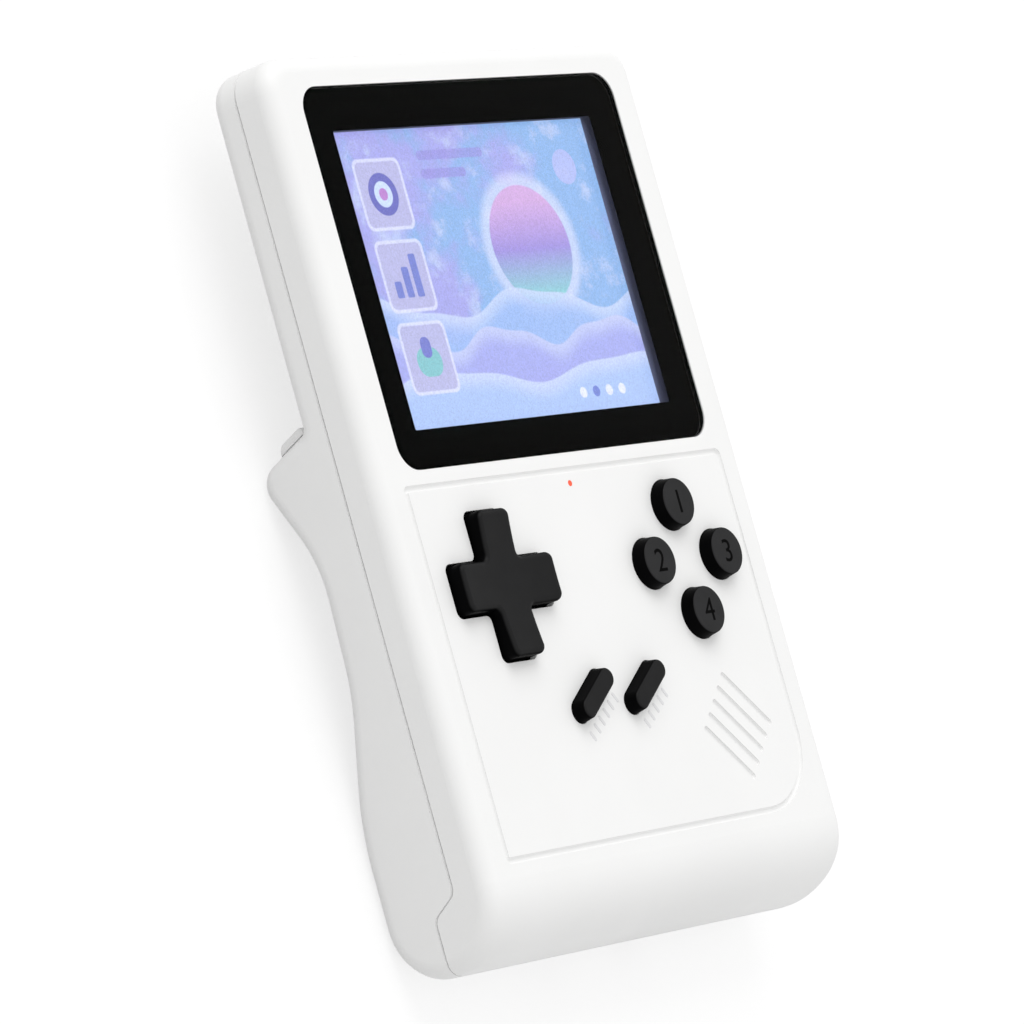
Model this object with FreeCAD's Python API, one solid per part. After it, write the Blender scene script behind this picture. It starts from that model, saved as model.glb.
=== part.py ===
import FreeCAD, Part
import math
import os
from FreeCAD import Vector

os.makedirs("parts", exist_ok=True)

# Frame: X to the right, Y to the top of the console, Z out of the screen.
# The console lies on its back on Z = 0. Millimetres.

# Case
HALF_WIDTH = 41.15
TOP = 63.5
FACE = 20.2
UPPER_BACK = 9.0
WALL = 1.8
EDGE_ROUND = 2.5
TOP_CORNER = 5.0
LOWER_CORNER = 11.5
CORNER_PASS = 3.2
CHIN_ROUND = 10.6
CHIN_FLAT = 0.9
HUMP_ROOT = 13.35
HUMP_TIP = 9.85
HUMP_ROUND = 3.2
HUMP_ROOT_ROUND = 1.0
GRIP_START = 6.6
GRIP_START_ROUND = 3.0
GRIP_TOP = -4.64
GRIP_TOP_RISE = 5.42
GRIP_TOP_ROUND = 20.0
GRIP_FALL = -22.5
GRIP_FALL_RISE = 4.8
GRIP_FALL_ROUND = 35.0
GRIP_END = -40.65
GRIP_END_ROUND = 45.0
SEAM_UPPER_DEEP = 6.23
SEAM_LOWER_DEEP = 10.58
SEAM_STEP_Y = -54.15
SEAM_STEP_HALF = 1.3
SEAM_STEP_ROUND = 1.9
SEAM_GAP = 0.15
SEAM_RELIEF = 0.12
SEAM_RELIEF_DEEP = 0.18
LIP = 0.85
LIP_HEIGHT = 1.2
LIP_PLAY = 0.06
BACK_ROUND = FACE - CHIN_ROUND - CHIN_FLAT
BOTTOM = -TOP
SEAM_UPPER = FACE - SEAM_UPPER_DEEP
SEAM_LOWER = FACE - SEAM_LOWER_DEEP

# Control panel groove
PANEL_HALF = HALF_WIDTH - 5.35
PANEL_TOP = 1.63
PANEL_BOTTOM = BOTTOM + 13.0
PANEL_CORNER = 10.6
PANEL_SMALL_CORNER = 0.6
GROOVE_WIDTH = 0.95
GROOVE_DEPTH = 0.42
GROOVE_ROUND = 0.4

# Screen
LENS_LAP = 4.9
LENS_HEIGHT = 54.6
LENS_THICK = 1.05
LENS_CORNER = 3.6
LENS_Y = 31.47
LENS_CHAMFER = 0.12
LENS_SUNK = 0.05
LENS_PLAY = 0.1
BORDER_THICK = 0.1
BORDER_MARGIN = 0.02
PICTURE_SIDE = 1.03
PICTURE_HEIGHT = 42.86
PICTURE_CORNER = 0.3
WINDOW_Y = 31.2
WINDOW_LAP = 3.1
WINDOW_HEIGHT = 45.2
WINDOW_CORNER = 1.0
SCREEN_SIDE = 0.25
SCREEN_HEIGHT = 49.4
SCREEN_THICK = 2.6
SCREEN_GAP = 0.1
GLASS_THICK = 1.1
GLASS_SUNK = 0.75
TRAY_RIM = 0.8
TRAY_PLAY = 0.1
TAPE = 0.2
TAPE_MARGIN = 5.0

# Main board
BOARD_THICK = 1.2
BOARD_SIDE = 2.35
BOARD_HALF = HALF_WIDTH - WALL - BOARD_SIDE
BOARD_TOP = TOP - WALL - 1.6
BOARD_STEP_Y = -26.3
BOARD_STEP_X = 11.3
BOARD_BOTTOM = -38.6
BOARD_CORNER = 1.5
RIBBON_HALF = 8.0
RIBBON_THICK = 0.2
RIBBON_RISE = 0.9
RIBBON_DROP = 0.7
RIBBON_REACH = 1.4
RIBBON_PLAY = 0.6
SOCKET_REACH = 1.2
SOCKET_MARGIN = 1.5
SOCKET_WIDTH = 3.6
SOCKET_THICK = 1.2
CHIPS = [(-9.0, 33.0, 12.0, 12.0, 1.2), (9.5, 33.0, 9.0, 7.0, 1.0), (9.5, 21.0, 5.0, 5.0, 0.8),
         (-17.0, 19.0, 5.0, 5.0, 1.3), (-27.0, 38.0, 4.0, 4.0, 0.8), (0.5, 22.5, 3.2, 2.5, 0.7)]

# Cross control
CROSS_SIDE = 19.8
CROSS_X = CROSS_SIDE - HALF_WIDTH
CROSS_Y = -13.2
CROSS_ARM = 7.0
CROSS_LENGTH = 20.8
CROSS_CENTRE_RISE = 1.65
CROSS_TIP_RISE = 2.4
CROSS_TIP_ROUND = 1.2
CROSS_INNER_ROUND = 0.9
CROSS_EDGE_ROUND = 0.8
CROSS_PLAY = 0.4
CROSS_FLANGE = 12.6
CROSS_FLANGE_THICK = 0.9
CROSS_SWING_ROOM = 1.0
CROSS_DOME_ROOM = 0.75
CROSS_WALL = 1.2
PIVOT_BALL = 1.5
PIVOT_PLAY = 0.05

# Round buttons
ACTION_SIDE = 20.35
ACTION_X = HALF_WIDTH - ACTION_SIDE
ACTION_Y = -13.18
ACTION_PITCH = 7.96
BUTTON_RADIUS = 3.74
BUTTON_TOP_RADIUS = 3.42
BUTTON_RISE = 2.05
BUTTON_ROUND = 0.28
BUTTON_PLAY = 0.09
BUTTON_FLANGE = 0.9
BUTTON_TRAVEL = 0.9
FLANGE_THICK = 1.05
FLANGE_GAP = 0.05

# Select and start
PILL_Y = -30.25
PILL_LEFT_X = -8.96
PILL_RIGHT_X = 3.04
PILL_WIDTH = 3.5
PILL_LENGTH = 10.1
PILL_ANGLE = 34.3
PILL_RISE = 2.05
PILL_SLOPE = 0.35
PILL_ROUND = 0.45

# Rubber sheets on the board
SHEET = 0.4
DOME_RADIUS = 2.2
DOME_TAPER = 0.75
DOME_GAP = 0.06
PAD_RADIUS = 12.0
PILL_SHEET_WIDTH = 26.5
PILL_SHEET_HEIGHT = 12.4
PILL_SHEET_CORNER = 3.0

# Sound
SPEAKER_SIDE = 18.51
SPEAKER_UP = 25.62
SPEAKER_X = HALF_WIDTH - SPEAKER_SIDE
SPEAKER_Y = BOTTOM + SPEAKER_UP
SPEAKER_RADIUS = 10.0
SPEAKER_THICK = 3.7
SPEAKER_PLATE = 2.2
MAGNET_RADIUS = 6.0
CONE_INNER = 4.5
CONE_OUTER = 8.8
CONE_DEEP = 1.4
CONE_WALL = 0.3
CAP_RADIUS = 4.0
SPEAKER_PLAY = 0.1
SPEAKER_RIB = 1.0
SOUND_SLOTS = 5
SOUND_PITCH = 2.52
SOUND_LENGTH = 11.8
SOUND_WIDTH = 0.95
SOUND_DEEP = 0.38
SOUND_ROUND = 0.3
SOUND_SHIFT = 0.04
SOUND_OPEN = 0.28

# Lamp
LAMP_X = 0.07
LAMP_Y = -0.32
LAMP_RADIUS = 0.42
LAMP_PLAY = 0.03
LAMP_FLANGE = 1.2
LAMP_FLANGE_THICK = 0.8
LAMP_GAP = 0.2
LED_LENGTH = 1.6
LED_WIDTH = 1.0
LED_THICK = 0.6

# Shoulder buttons, measured along the sloping top of the hump and out of it
SHOULDER_START = 0.9
SHOULDER_WIDTH = 5.4
SHOULDER_RISE = 1.75
SHOULDER_ROUND = 1.5
SHOULDER_OUTER_X = HALF_WIDTH - 2.55
SHOULDER_INNER_X = 11.5
SHOULDER_PLAY = 0.1
SHOULDER_FLANGE = 0.6
SHOULDER_NECK = 0.3
SHOULDER_NECK_LOW = -0.4
SHOULDER_NECK_HIGH = 0.48
SHOULDER_TRAVEL = 0.8
SHOULDER_BOARD_HALF = 31.0
SHOULDER_BOARD_THICK = 1.0
SHOULDER_SWITCH_X = 25.0
SHOULDER_SWITCH_THICK = 1.3
SHOULDER_POST_X = 6.0
SHOULDER_END_ROUND = 0.5
SHOULDER_BOARD_WIDTH = 5.2
SHOULDER_SWITCH_SIDE = 4.4
SHOULDER_PLUNGER = 1.2
SHOULDER_PLUNGER_RISE = 0.4
SHOULDER_SCREW_DEEP = 2.6

# Volume wheel
WHEEL_Y = 30.0
WHEEL_RADIUS = 7.4
WHEEL_THICK = 1.9
WHEEL_PLAY = 0.25
WHEEL_SHAFT = 1.5
WHEEL_RUN = 0.05
WHEEL_SCOOP = 0.7
WHEEL_TEETH = 30
WHEEL_TOOTH = 0.4
WHEEL_TOOTH_OUT = 0.15
WHEEL_SUNK = 0.15
WHEEL_GAP = 0.1
SCOOP_START = 1.6
POT_RADIUS = 4.6
POT_THICK = 1.1

# Power slider
POWER_X = -20.0
POWER_TRAVEL = 3.0
POWER_KNOB = 5.0
POWER_HEIGHT = 2.1
POWER_POCKET = 1.2
POWER_PLAY = 0.12
POWER_GAP = 0.1
POWER_ABOVE_WALL = 0.4
POWER_SUNK = 0.15
POWER_FLANGE = 1.0
POWER_FLANGE_LOW = 0.1
POWER_FLANGE_HIGH = 0.4
POWER_GROOVES = 5
POWER_GROOVE_PITCH = 0.7
POWER_GROOVE_HALF = 0.2
POWER_GROOVE_DEEP = 0.3
POWER_SWITCH_BACK = 0.2
POWER_SWITCH_DEEP = 4.4
POWER_SWITCH_MARGIN = 2.5

# Sockets in the bottom edge
PORT_BOARD_HALF = 20.0
PORT_BOARD_BACK = -50.0
PORT_BOARD_FRONT = -60.6
PORT_BOARD_Z = 11.2
USB_X = -9.0
USB_Z = 5.8
USB_WIDTH = 9.0
USB_HEIGHT = 3.2
USB_LENGTH = 7.3
USB_WALL = 0.3
JACK_X = 10.0
JACK_Z = 5.0
JACK_BORE = 1.8
JACK_NOSE = 2.5
JACK_DEPTH = 11.0
PORT_PLAY = 0.12
PORT_POST_X = 17.0
PORT_POST_Y = -53.4
PORT_SCREW_DEEP = 4.5
USB_SUNK = 1.5
USB_STAND_INSET = 1.0
USB_BACK_WALL = 0.9
USB_TONGUE_HALF = 3.15
USB_TONGUE_THICK = 0.7
USB_TONGUE_SUNK = 0.7
JACK_SUNK = 2.9
JACK_SIDE = 0.7
JACK_END_WALL = 1.0
JACK_BLOCK_START = 6.6

# Battery bay
CELL_WIDTH = 50.0
CELL_LENGTH = 29.0
CELL_THICK = 5.5
CELL_Z = 7.0
CELL_TOP_Y = -15.8
CELL_PLAY = 0.3
CELL_ROUND = 1.5
CELL_ABOVE = 0.2
BAY_WALL = 1.2
BAY_ROOF = 0.6
COVER_THICK = 1.6
COVER_MARGIN = 1.9
COVER_PLAY = 0.12
COVER_GAP = 0.1
LEDGE = 1.4
THUMB_GROOVES = 5
THUMB_PITCH = 1.6
THUMB_HALF = 7.0
THUMB_RADIUS = 0.35
CONTACT_COUNT = 3
CONTACT_PITCH = 4.5
CONTACT_WIDTH = 1.8
CONTACT_MARGIN = 1.5
CONTACT_DEEP = 3.2
CONTACT_PLAY = 0.05
CONTACT_FOOT = 0.4
CONTACT_INSET = 0.6

# Fasteners
UPPER_SCREW_SIDE = 5.65
UPPER_SCREW_DROP = 5.2
MIDDLE_SCREW_SIDE = 4.85
MIDDLE_SCREW_Y = 3.0
LOWER_SCREW_SIDE = 6.65
LOWER_SCREW_UP = 16.0
BOARD_SCREW_SIDE = 1.8
BOARD_SCREW_ROWS = [46.0, 14.0]
LOW_SCREW_SIDE = 6.5
LOW_SCREW_UP = 5.1
CASE_SCREWS = [
    (HALF_WIDTH - UPPER_SCREW_SIDE, TOP - UPPER_SCREW_DROP),
    (HALF_WIDTH - MIDDLE_SCREW_SIDE, MIDDLE_SCREW_Y),
    (HALF_WIDTH - LOWER_SCREW_SIDE, BOTTOM + LOWER_SCREW_UP),
]
BOARD_SCREW_X = BOARD_HALF - BOARD_SCREW_SIDE
BOARD_SCREWS = [(BOARD_SCREW_X, row) for row in BOARD_SCREW_ROWS]
MID_SCREW = (0.0, -14.0)
LOW_SCREW = (LOW_SCREW_SIDE - BOARD_HALF, BOARD_BOTTOM + LOW_SCREW_UP)
BOSS_RADIUS = 2.6
WELL_WALL = 1.0
CASE_SEAT_Z = 10.5
CASE_SEAT = 1.4
BOSS_END_Z = CASE_SEAT_Z + CASE_SEAT + 0.02
SCREW_RADIUS = 0.9
SCREW_HEAD = 1.9
SCREW_HEAD_THICK = 1.3
SMALL_SCREW = 0.75
SMALL_HEAD = 1.5
SMALL_HEAD_THICK = 0.9
SMALL_POST = 1.75
SCREW_PLAY = 0.02
HOLE_PLAY = 0.2
HOLE_END = 0.3
WELL_RADIUS = SCREW_HEAD + 0.3

# Widths of the display, which lies between the board's screw posts
SCREEN_WIDTH = 2 * (BOARD_SCREW_X - SMALL_POST - SCREEN_SIDE)
WINDOW_WIDTH = SCREEN_WIDTH - 2 * WINDOW_LAP
PICTURE_WIDTH = WINDOW_WIDTH - 2 * PICTURE_SIDE
LENS_WIDTH = WINDOW_WIDTH + 2 * LENS_LAP

# Levels that follow from the sizes above
INNER_FACE = FACE - WALL
LENS_TOP = FACE - LENS_SUNK
LENS_SEAT = LENS_TOP - LENS_THICK - BORDER_THICK
SCREEN_TOP = INNER_FACE - SCREEN_GAP
GLASS_TOP = SCREEN_TOP - GLASS_SUNK
SCREEN_BACK = SCREEN_TOP - SCREEN_THICK
BOARD_FRONT = SCREEN_BACK - TAPE
BOARD_BACK = BOARD_FRONT - BOARD_THICK
SHEET_TOP = BOARD_FRONT + SHEET
BUTTON_FLANGE_TOP = INNER_FACE - FLANGE_GAP
BUTTON_FLANGE_BACK = BUTTON_FLANGE_TOP - FLANGE_THICK
BUTTON_DOME_TOP = BUTTON_FLANGE_BACK - BUTTON_TRAVEL - DOME_GAP
CROSS_POCKET = FACE - CROSS_WALL
CROSS_FLANGE_TOP = CROSS_POCKET - CROSS_SWING_ROOM
CROSS_FLANGE_BACK = CROSS_FLANGE_TOP - CROSS_FLANGE_THICK
CROSS_DOME_TOP = CROSS_FLANGE_BACK - CROSS_DOME_ROOM
PIVOT_Z = SHEET_TOP + PIVOT_PLAY + PIVOT_BALL
WHEEL_X = HALF_WIDTH - WHEEL_SUNK - WHEEL_RADIUS
WHEEL_FRONT = BOARD_BACK - POT_THICK - WHEEL_GAP
WHEEL_BACK = WHEEL_FRONT - WHEEL_THICK
BAY_CEILING = CELL_Z + CELL_THICK + CELL_ABOVE
BAY_HALF = CELL_WIDTH / 2 + CELL_PLAY
BAY_TOP_Y = CELL_TOP_Y + CELL_PLAY
BAY_LOW_Y = CELL_TOP_Y - CELL_LENGTH - CELL_PLAY
SLOPE_LENGTH = math.hypot(HUMP_ROOT - HUMP_TIP, UPPER_BACK)
SLOPE_DOWN = Vector(0, HUMP_TIP - HUMP_ROOT, -UPPER_BACK) / SLOPE_LENGTH
SLOPE_OUT = Vector(0, UPPER_BACK, HUMP_TIP - HUMP_ROOT) / SLOPE_LENGTH
SLOPE_ROOT = Vector(0, HUMP_ROOT, UPPER_BACK)
COVER_SEAT = COVER_THICK + COVER_GAP
CONTACT_FLOOR = GRIP_TOP_RISE + COVER_SEAT + LEDGE
CONTACT_LOW = CONTACT_FLOOR + CONTACT_FOOT
CONTACT_HALF = CONTACT_PITCH * CONTACT_COUNT / 2 + CONTACT_MARGIN
CONTACT_BACK = BAY_TOP_Y + CONTACT_DEEP
SCREEN_LOW_Y = WINDOW_Y - SCREEN_HEIGHT / 2
RIBBON_Y = SCREEN_LOW_Y - RIBBON_REACH
SOCKET_Y = SCREEN_LOW_Y + SOCKET_REACH
SHOULDER_MIDDLE = SHOULDER_START + SHOULDER_WIDTH / 2
SHOULDER_FLANGE_BACK = -WALL - FLANGE_GAP - FLANGE_THICK
SHOULDER_BOARD_TOP = SHOULDER_FLANGE_BACK - SHOULDER_TRAVEL - DOME_GAP - SHOULDER_SWITCH_THICK
POWER_LOW = UPPER_BACK + WALL + POWER_ABOVE_WALL


# Basic shapes

def box(x0, x1, y0, y1, z0, z1):
    return Part.makeBox(x1 - x0, y1 - y0, z1 - z0, Vector(x0, y0, z0))


def rod(x, y, radius, z0, z1):
    return Part.makeCylinder(radius, z1 - z0, Vector(x, y, z0))


def rod_y(x, z, radius, y0, y1):
    return Part.makeCylinder(radius, y1 - y0, Vector(x, y0, z), Vector(0, 1, 0))


def rod_x(x0, x1, y, z, radius):
    return Part.makeCylinder(radius, x1 - x0, Vector(x0, y, z), Vector(1, 0, 0))


def rod_out(x, along, radius, low, high):
    start = SLOPE_ROOT + SLOPE_DOWN * along + SLOPE_OUT * low + Vector(x, 0, 0)
    return Part.makeCylinder(radius, high - low, start, SLOPE_OUT)


def outline(corners):
    """Closed wire through (point, radius) corners, rounded where the radius is above zero."""
    count = len(corners)
    starts = []
    mids = []
    ends = []
    for index in range(count):
        here, radius = corners[index]
        back = (corners[index - 1][0] - here).normalize()
        ahead = (corners[(index + 1) % count][0] - here).normalize()
        half = back.getAngle(ahead) / 2
        reach = radius / math.tan(half)
        middle = (back + ahead).normalize()
        starts.append(here + back * reach)
        mids.append(here + middle * (radius / math.sin(half) - radius))
        ends.append(here + ahead * reach)
    pieces = []
    for index in range(count):
        if corners[index][1] > 0:
            pieces.append(Part.Arc(starts[index], mids[index], ends[index]).toShape())
        following = starts[(index + 1) % count]
        if ends[index].distanceToPoint(following) > 1e-6:
            pieces.append(Part.LineSegment(ends[index], following).toShape())
    return Part.Wire(pieces)


def shrunk(corners, inset):
    """Anticlockwise (across, up, radius) corners with every side moved inwards."""
    result = []
    count = len(corners)
    for index in range(count):
        across, up, radius = corners[index]
        before = corners[index - 1]
        after = corners[(index + 1) % count]
        arrive = math.atan2(up - before[1], across - before[0])
        leave = math.atan2(after[1] - up, after[0] - across)
        turn = (leave - arrive + math.pi) % (2 * math.pi) - math.pi
        reach = inset / math.cos(turn / 2)
        inwards = arrive + turn / 2 + math.pi / 2
        if radius > 0:
            radius = max(radius - inset, 0) if turn > 0 else radius + inset
        result.append((across + reach * math.cos(inwards), up + reach * math.sin(inwards), radius))
    return result


def prism(wire, z0, z1):
    shape = Part.Face(wire).extrude(Vector(0, 0, z1 - z0))
    shape.translate(Vector(0, 0, z0))
    return shape


def rounded_box(x0, x1, y0, y1, radius, z0, z1):
    corners = [Vector(x0, y0, 0), Vector(x1, y0, 0), Vector(x1, y1, 0), Vector(x0, y1, 0)]
    return prism(outline([(corner, radius) for corner in corners]), z0, z1)


def joined(shapes):
    shape = shapes[0].fuse(shapes[1:]) if len(shapes) > 1 else shapes[0]
    return shape.removeSplitter()


def carved(shape, tools):
    """One cut after another, since tools that share a plane fail when cut together."""
    for tool in tools:
        shape = shape.cut(tool)
    return shape


def mirrored(shape):
    return shape.mirror(Vector(0, 0, 0), Vector(1, 0, 0))


def save(shape, node):
    if shape.ShapeType == "Compound" and len(shape.Solids) == 1:
        shape = shape.Solids[0]
    shape.exportStep("parts/" + node + ".step")
    print(node, "solids", len(shape.Solids), "valid", shape.isValid(), "volume", round(shape.Volume, 1))


# Case body

SIDE = [
    (BOTTOM, 0, BACK_ROUND),
    (GRIP_END, 0, GRIP_END_ROUND),
    (GRIP_FALL, GRIP_FALL_RISE, GRIP_FALL_ROUND),
    (GRIP_TOP, GRIP_TOP_RISE, GRIP_TOP_ROUND),
    (GRIP_START, 0, GRIP_START_ROUND),
    (HUMP_TIP, 0, HUMP_ROUND),
    (HUMP_ROOT, UPPER_BACK, HUMP_ROOT_ROUND),
    (TOP, UPPER_BACK, 0),
    (TOP, FACE, 0),
    (BOTTOM, FACE, CHIN_ROUND),
]
FRONT = [
    (-HALF_WIDTH, BOTTOM - CORNER_PASS, 0),
    (HALF_WIDTH, BOTTOM - CORNER_PASS, LOWER_CORNER),
    (HALF_WIDTH, TOP, TOP_CORNER),
    (-HALF_WIDTH, TOP, TOP_CORNER),
]


def side_prism(inset):
    wire = outline([(Vector(0, y, z), radius) for y, z, radius in shrunk(SIDE, inset)])
    shape = Part.Face(wire).extrude(Vector(4 * HALF_WIDTH, 0, 0))
    shape.translate(Vector(-2 * HALF_WIDTH, 0, 0))
    return shape


def front_prism(inset):
    wire = outline([(Vector(x, y, 0), radius) for x, y, radius in shrunk(FRONT, inset)])
    return prism(wire, -FACE, 2 * FACE)


def case_body(inset):
    return side_prism(inset).common(front_prism(inset))


def is_rim(edge):
    """The rim runs round both faces: neither upright corners nor lines across the side profile."""
    box_of = edge.BoundBox
    upright = box_of.ZLength > CHIN_FLAT + 0.1 and box_of.XLength < 1e-4 and box_of.YLength < 1e-4
    if upright:
        return False
    across = box_of.XLength > 20 and box_of.YLength < 1e-4 and box_of.ZLength < 1e-4
    at_top = abs(box_of.YMax - TOP) < 1e-3
    return at_top or not across


def rounded_case():
    body = case_body(0)
    edges = [edge for edge in body.Edges if is_rim(edge)]
    return body.makeFillet(EDGE_ROUND, edges)


def front_zone(shift):
    """Everything on the screen side of the seam, moved towards the screen by the shift."""
    far = 2 * TOP
    wire = outline([
        (Vector(0, far, SEAM_UPPER + shift), 0),
        (Vector(0, SEAM_STEP_Y + SEAM_STEP_HALF, SEAM_UPPER + shift), SEAM_STEP_ROUND),
        (Vector(0, SEAM_STEP_Y - SEAM_STEP_HALF, SEAM_LOWER + shift), SEAM_STEP_ROUND),
        (Vector(0, -far, SEAM_LOWER + shift), 0),
        (Vector(0, -far, 2 * FACE), 0),
        (Vector(0, far, 2 * FACE), 0),
    ])
    shape = Part.Face(wire).extrude(Vector(4 * HALF_WIDTH, 0, 0))
    shape.translate(Vector(-2 * HALF_WIDTH, 0, 0))
    return shape


def pairs(points):
    return [(side * x, y) for x, y in points for side in (-1, 1)]


def case_screw_places():
    return pairs(CASE_SCREWS)


def board_screw_places():
    return pairs(BOARD_SCREWS) + [MID_SCREW, LOW_SCREW]


# Openings shared by the shells and the pieces behind them

def cross_outline(grow):
    arm = CROSS_ARM / 2 + grow
    tip = CROSS_LENGTH / 2 + grow
    corners = [
        (arm, arm, CROSS_INNER_ROUND), (arm, tip, CROSS_TIP_ROUND), (-arm, tip, CROSS_TIP_ROUND),
        (-arm, arm, CROSS_INNER_ROUND), (-tip, arm, CROSS_TIP_ROUND), (-tip, -arm, CROSS_TIP_ROUND),
        (-arm, -arm, CROSS_INNER_ROUND), (-arm, -tip, CROSS_TIP_ROUND), (arm, -tip, CROSS_TIP_ROUND),
        (arm, -arm, CROSS_INNER_ROUND), (tip, -arm, CROSS_TIP_ROUND), (tip, arm, CROSS_TIP_ROUND),
    ]
    return outline([(Vector(CROSS_X + x, CROSS_Y + y, 0), radius) for x, y, radius in corners])


def pill_outline(x, grow, level):
    radius = PILL_WIDTH / 2 + grow
    reach = (PILL_LENGTH - PILL_WIDTH) / 2
    angle = math.radians(PILL_ANGLE)
    along = Vector(math.cos(angle), math.sin(angle), 0)
    across = Vector(-math.sin(angle), math.cos(angle), 0)
    centre = Vector(x, PILL_Y, level)
    head = centre + along * reach
    foot = centre - along * reach
    return Part.Wire([
        Part.LineSegment(foot - across * radius, head - across * radius).toShape(),
        Part.Arc(head - across * radius, head + along * radius, head + across * radius).toShape(),
        Part.LineSegment(head + across * radius, foot + across * radius).toShape(),
        Part.Arc(foot + across * radius, foot - along * radius, foot - across * radius).toShape(),
    ])


def pill_prism(x, grow, z0, z1):
    return Part.Face(pill_outline(x, grow, z0)).extrude(Vector(0, 0, z1 - z0))


def button_places():
    return {
        "button_top": (ACTION_X, ACTION_Y + ACTION_PITCH),
        "button_left": (ACTION_X - ACTION_PITCH, ACTION_Y),
        "button_right": (ACTION_X + ACTION_PITCH, ACTION_Y),
        "button_bottom": (ACTION_X, ACTION_Y - ACTION_PITCH),
    }


def round_bottom(shape, radius):
    low = shape.BoundBox.ZMin
    return shape.makeFillet(radius, [edge for edge in shape.Edges if edge.BoundBox.ZMax < low + 1e-4])


def sound_slot(index):
    """Shallow trough with a slit along one of its sides."""
    shift = (index - (SOUND_SLOTS - 1) / 2) * SOUND_PITCH
    half = SOUND_LENGTH / 2
    low = INNER_FACE - WALL
    inner = half - SOUND_WIDTH / 2
    recess = rounded_box(-half, half, -SOUND_WIDTH / 2, SOUND_WIDTH / 2, SOUND_WIDTH * 0.49,
                         FACE - SOUND_DEEP, FACE + 1)
    recess = round_bottom(recess, SOUND_ROUND)
    start = SOUND_SHIFT - SOUND_WIDTH / 2
    opening = rounded_box(-inner, inner, start, start + SOUND_OPEN, SOUND_OPEN * 0.49, low,
                          FACE - SOUND_DEEP + SOUND_ROUND)
    shape = recess.fuse(opening)
    shape.translate(Vector(0, shift, 0))
    shape.rotate(Vector(0, 0, 0), Vector(0, 0, 1), -45)
    shape.translate(Vector(SPEAKER_X, SPEAKER_Y, 0))
    return shape


def panel_groove():
    def ring(inset):
        low = PANEL_BOTTOM + inset
        wire = outline([
            (Vector(-PANEL_HALF + inset, PANEL_TOP - inset, 0), PANEL_SMALL_CORNER - inset),
            (Vector(PANEL_HALF - inset, PANEL_TOP - inset, 0), PANEL_SMALL_CORNER - inset),
            (Vector(PANEL_HALF - inset, low, 0), PANEL_CORNER - inset),
            (Vector(-PANEL_HALF + inset, low, 0), PANEL_SMALL_CORNER - inset),
        ])
        return prism(wire, FACE - GROOVE_DEPTH, FACE + 1)
    return round_bottom(ring(-GROOVE_WIDTH / 2).cut(ring(GROOVE_WIDTH / 2)), GROOVE_ROUND)


def wheel_slot():
    low = WHEEL_BACK - WHEEL_PLAY
    high = WHEEL_FRONT + WHEEL_PLAY
    return rod(WHEEL_X, WHEEL_Y, WHEEL_RADIUS + WHEEL_PLAY, low, high)


def wheel_scoop():
    radius = 2 * WHEEL_RADIUS
    centre = HALF_WIDTH + radius - WHEEL_SCOOP
    return rod(centre, WHEEL_Y, radius, UPPER_BACK + SCOOP_START, SEAM_UPPER + 1)


def power_slot():
    half = POWER_KNOB / 2 + POWER_PLAY
    low = POWER_LOW - POWER_PLAY
    high = low + POWER_HEIGHT + 2 * POWER_PLAY
    return box(POWER_X - half, POWER_X + half + POWER_TRAVEL, TOP - 2 * WALL, TOP + 1, low, high)


def power_scoop():
    middle = POWER_X + POWER_TRAVEL / 2
    radius = 4 * POWER_KNOB
    centre = TOP + radius - POWER_POCKET
    return rod(middle, centre, radius, UPPER_BACK + SCOOP_START, SEAM_UPPER + 1)


def port_holes():
    half = USB_WIDTH / 2 + PORT_PLAY
    low = USB_Z - USB_HEIGHT / 2 - PORT_PLAY
    high = USB_Z + USB_HEIGHT / 2 + PORT_PLAY
    usb = box(USB_X - half, USB_X + half, BOTTOM - 1, BOTTOM + 2 * WALL, low, high)
    jack = rod_y(JACK_X, JACK_Z, JACK_NOSE + PORT_PLAY, BOTTOM - 1, BOTTOM + JACK_BLOCK_START)
    return usb.fuse(jack)


def slope_block(x0, x1, along0, along1, low, high):
    """Block on the sloping top of the hump."""
    corners = [(along0, low), (along1, low), (along1, high), (along0, high)]
    points = [SLOPE_ROOT + SLOPE_DOWN * along + SLOPE_OUT * out for along, out in corners]
    face = Part.Face(Part.makePolygon(points + [points[0]]))
    shape = face.extrude(Vector(x1 - x0, 0, 0))
    shape.translate(Vector(x0, 0, 0))
    return shape


def shoulder_hole():
    end = SHOULDER_START + SHOULDER_WIDTH + SHOULDER_PLAY
    shape = slope_block(
        SHOULDER_INNER_X - SHOULDER_PLAY, SHOULDER_OUTER_X + SHOULDER_PLAY,
        SHOULDER_START - SHOULDER_PLAY, end, -1.5 * WALL, 2)
    return shape.fuse(mirrored(shape))


def cover_box(grow, z0, z1):
    half = BAY_HALF + COVER_MARGIN + grow
    low = BAY_LOW_Y - COVER_MARGIN - grow
    high = BAY_TOP_Y + COVER_MARGIN + grow
    return rounded_box(-half, half, low, high, COVER_MARGIN, z0, z1)


# Shells

def walls():
    return rounded_case().cut(case_body(WALL))


def lip_zone(inset, low, high):
    ring = case_body(inset).cut(case_body(WALL))
    return ring.common(front_zone(low)).cut(front_zone(high))


def seam_relief(low, high):
    """Shallow outer groove along the seam."""
    return front_zone(low).cut(front_zone(high)).cut(case_body(SEAM_RELIEF_DEEP))


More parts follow.
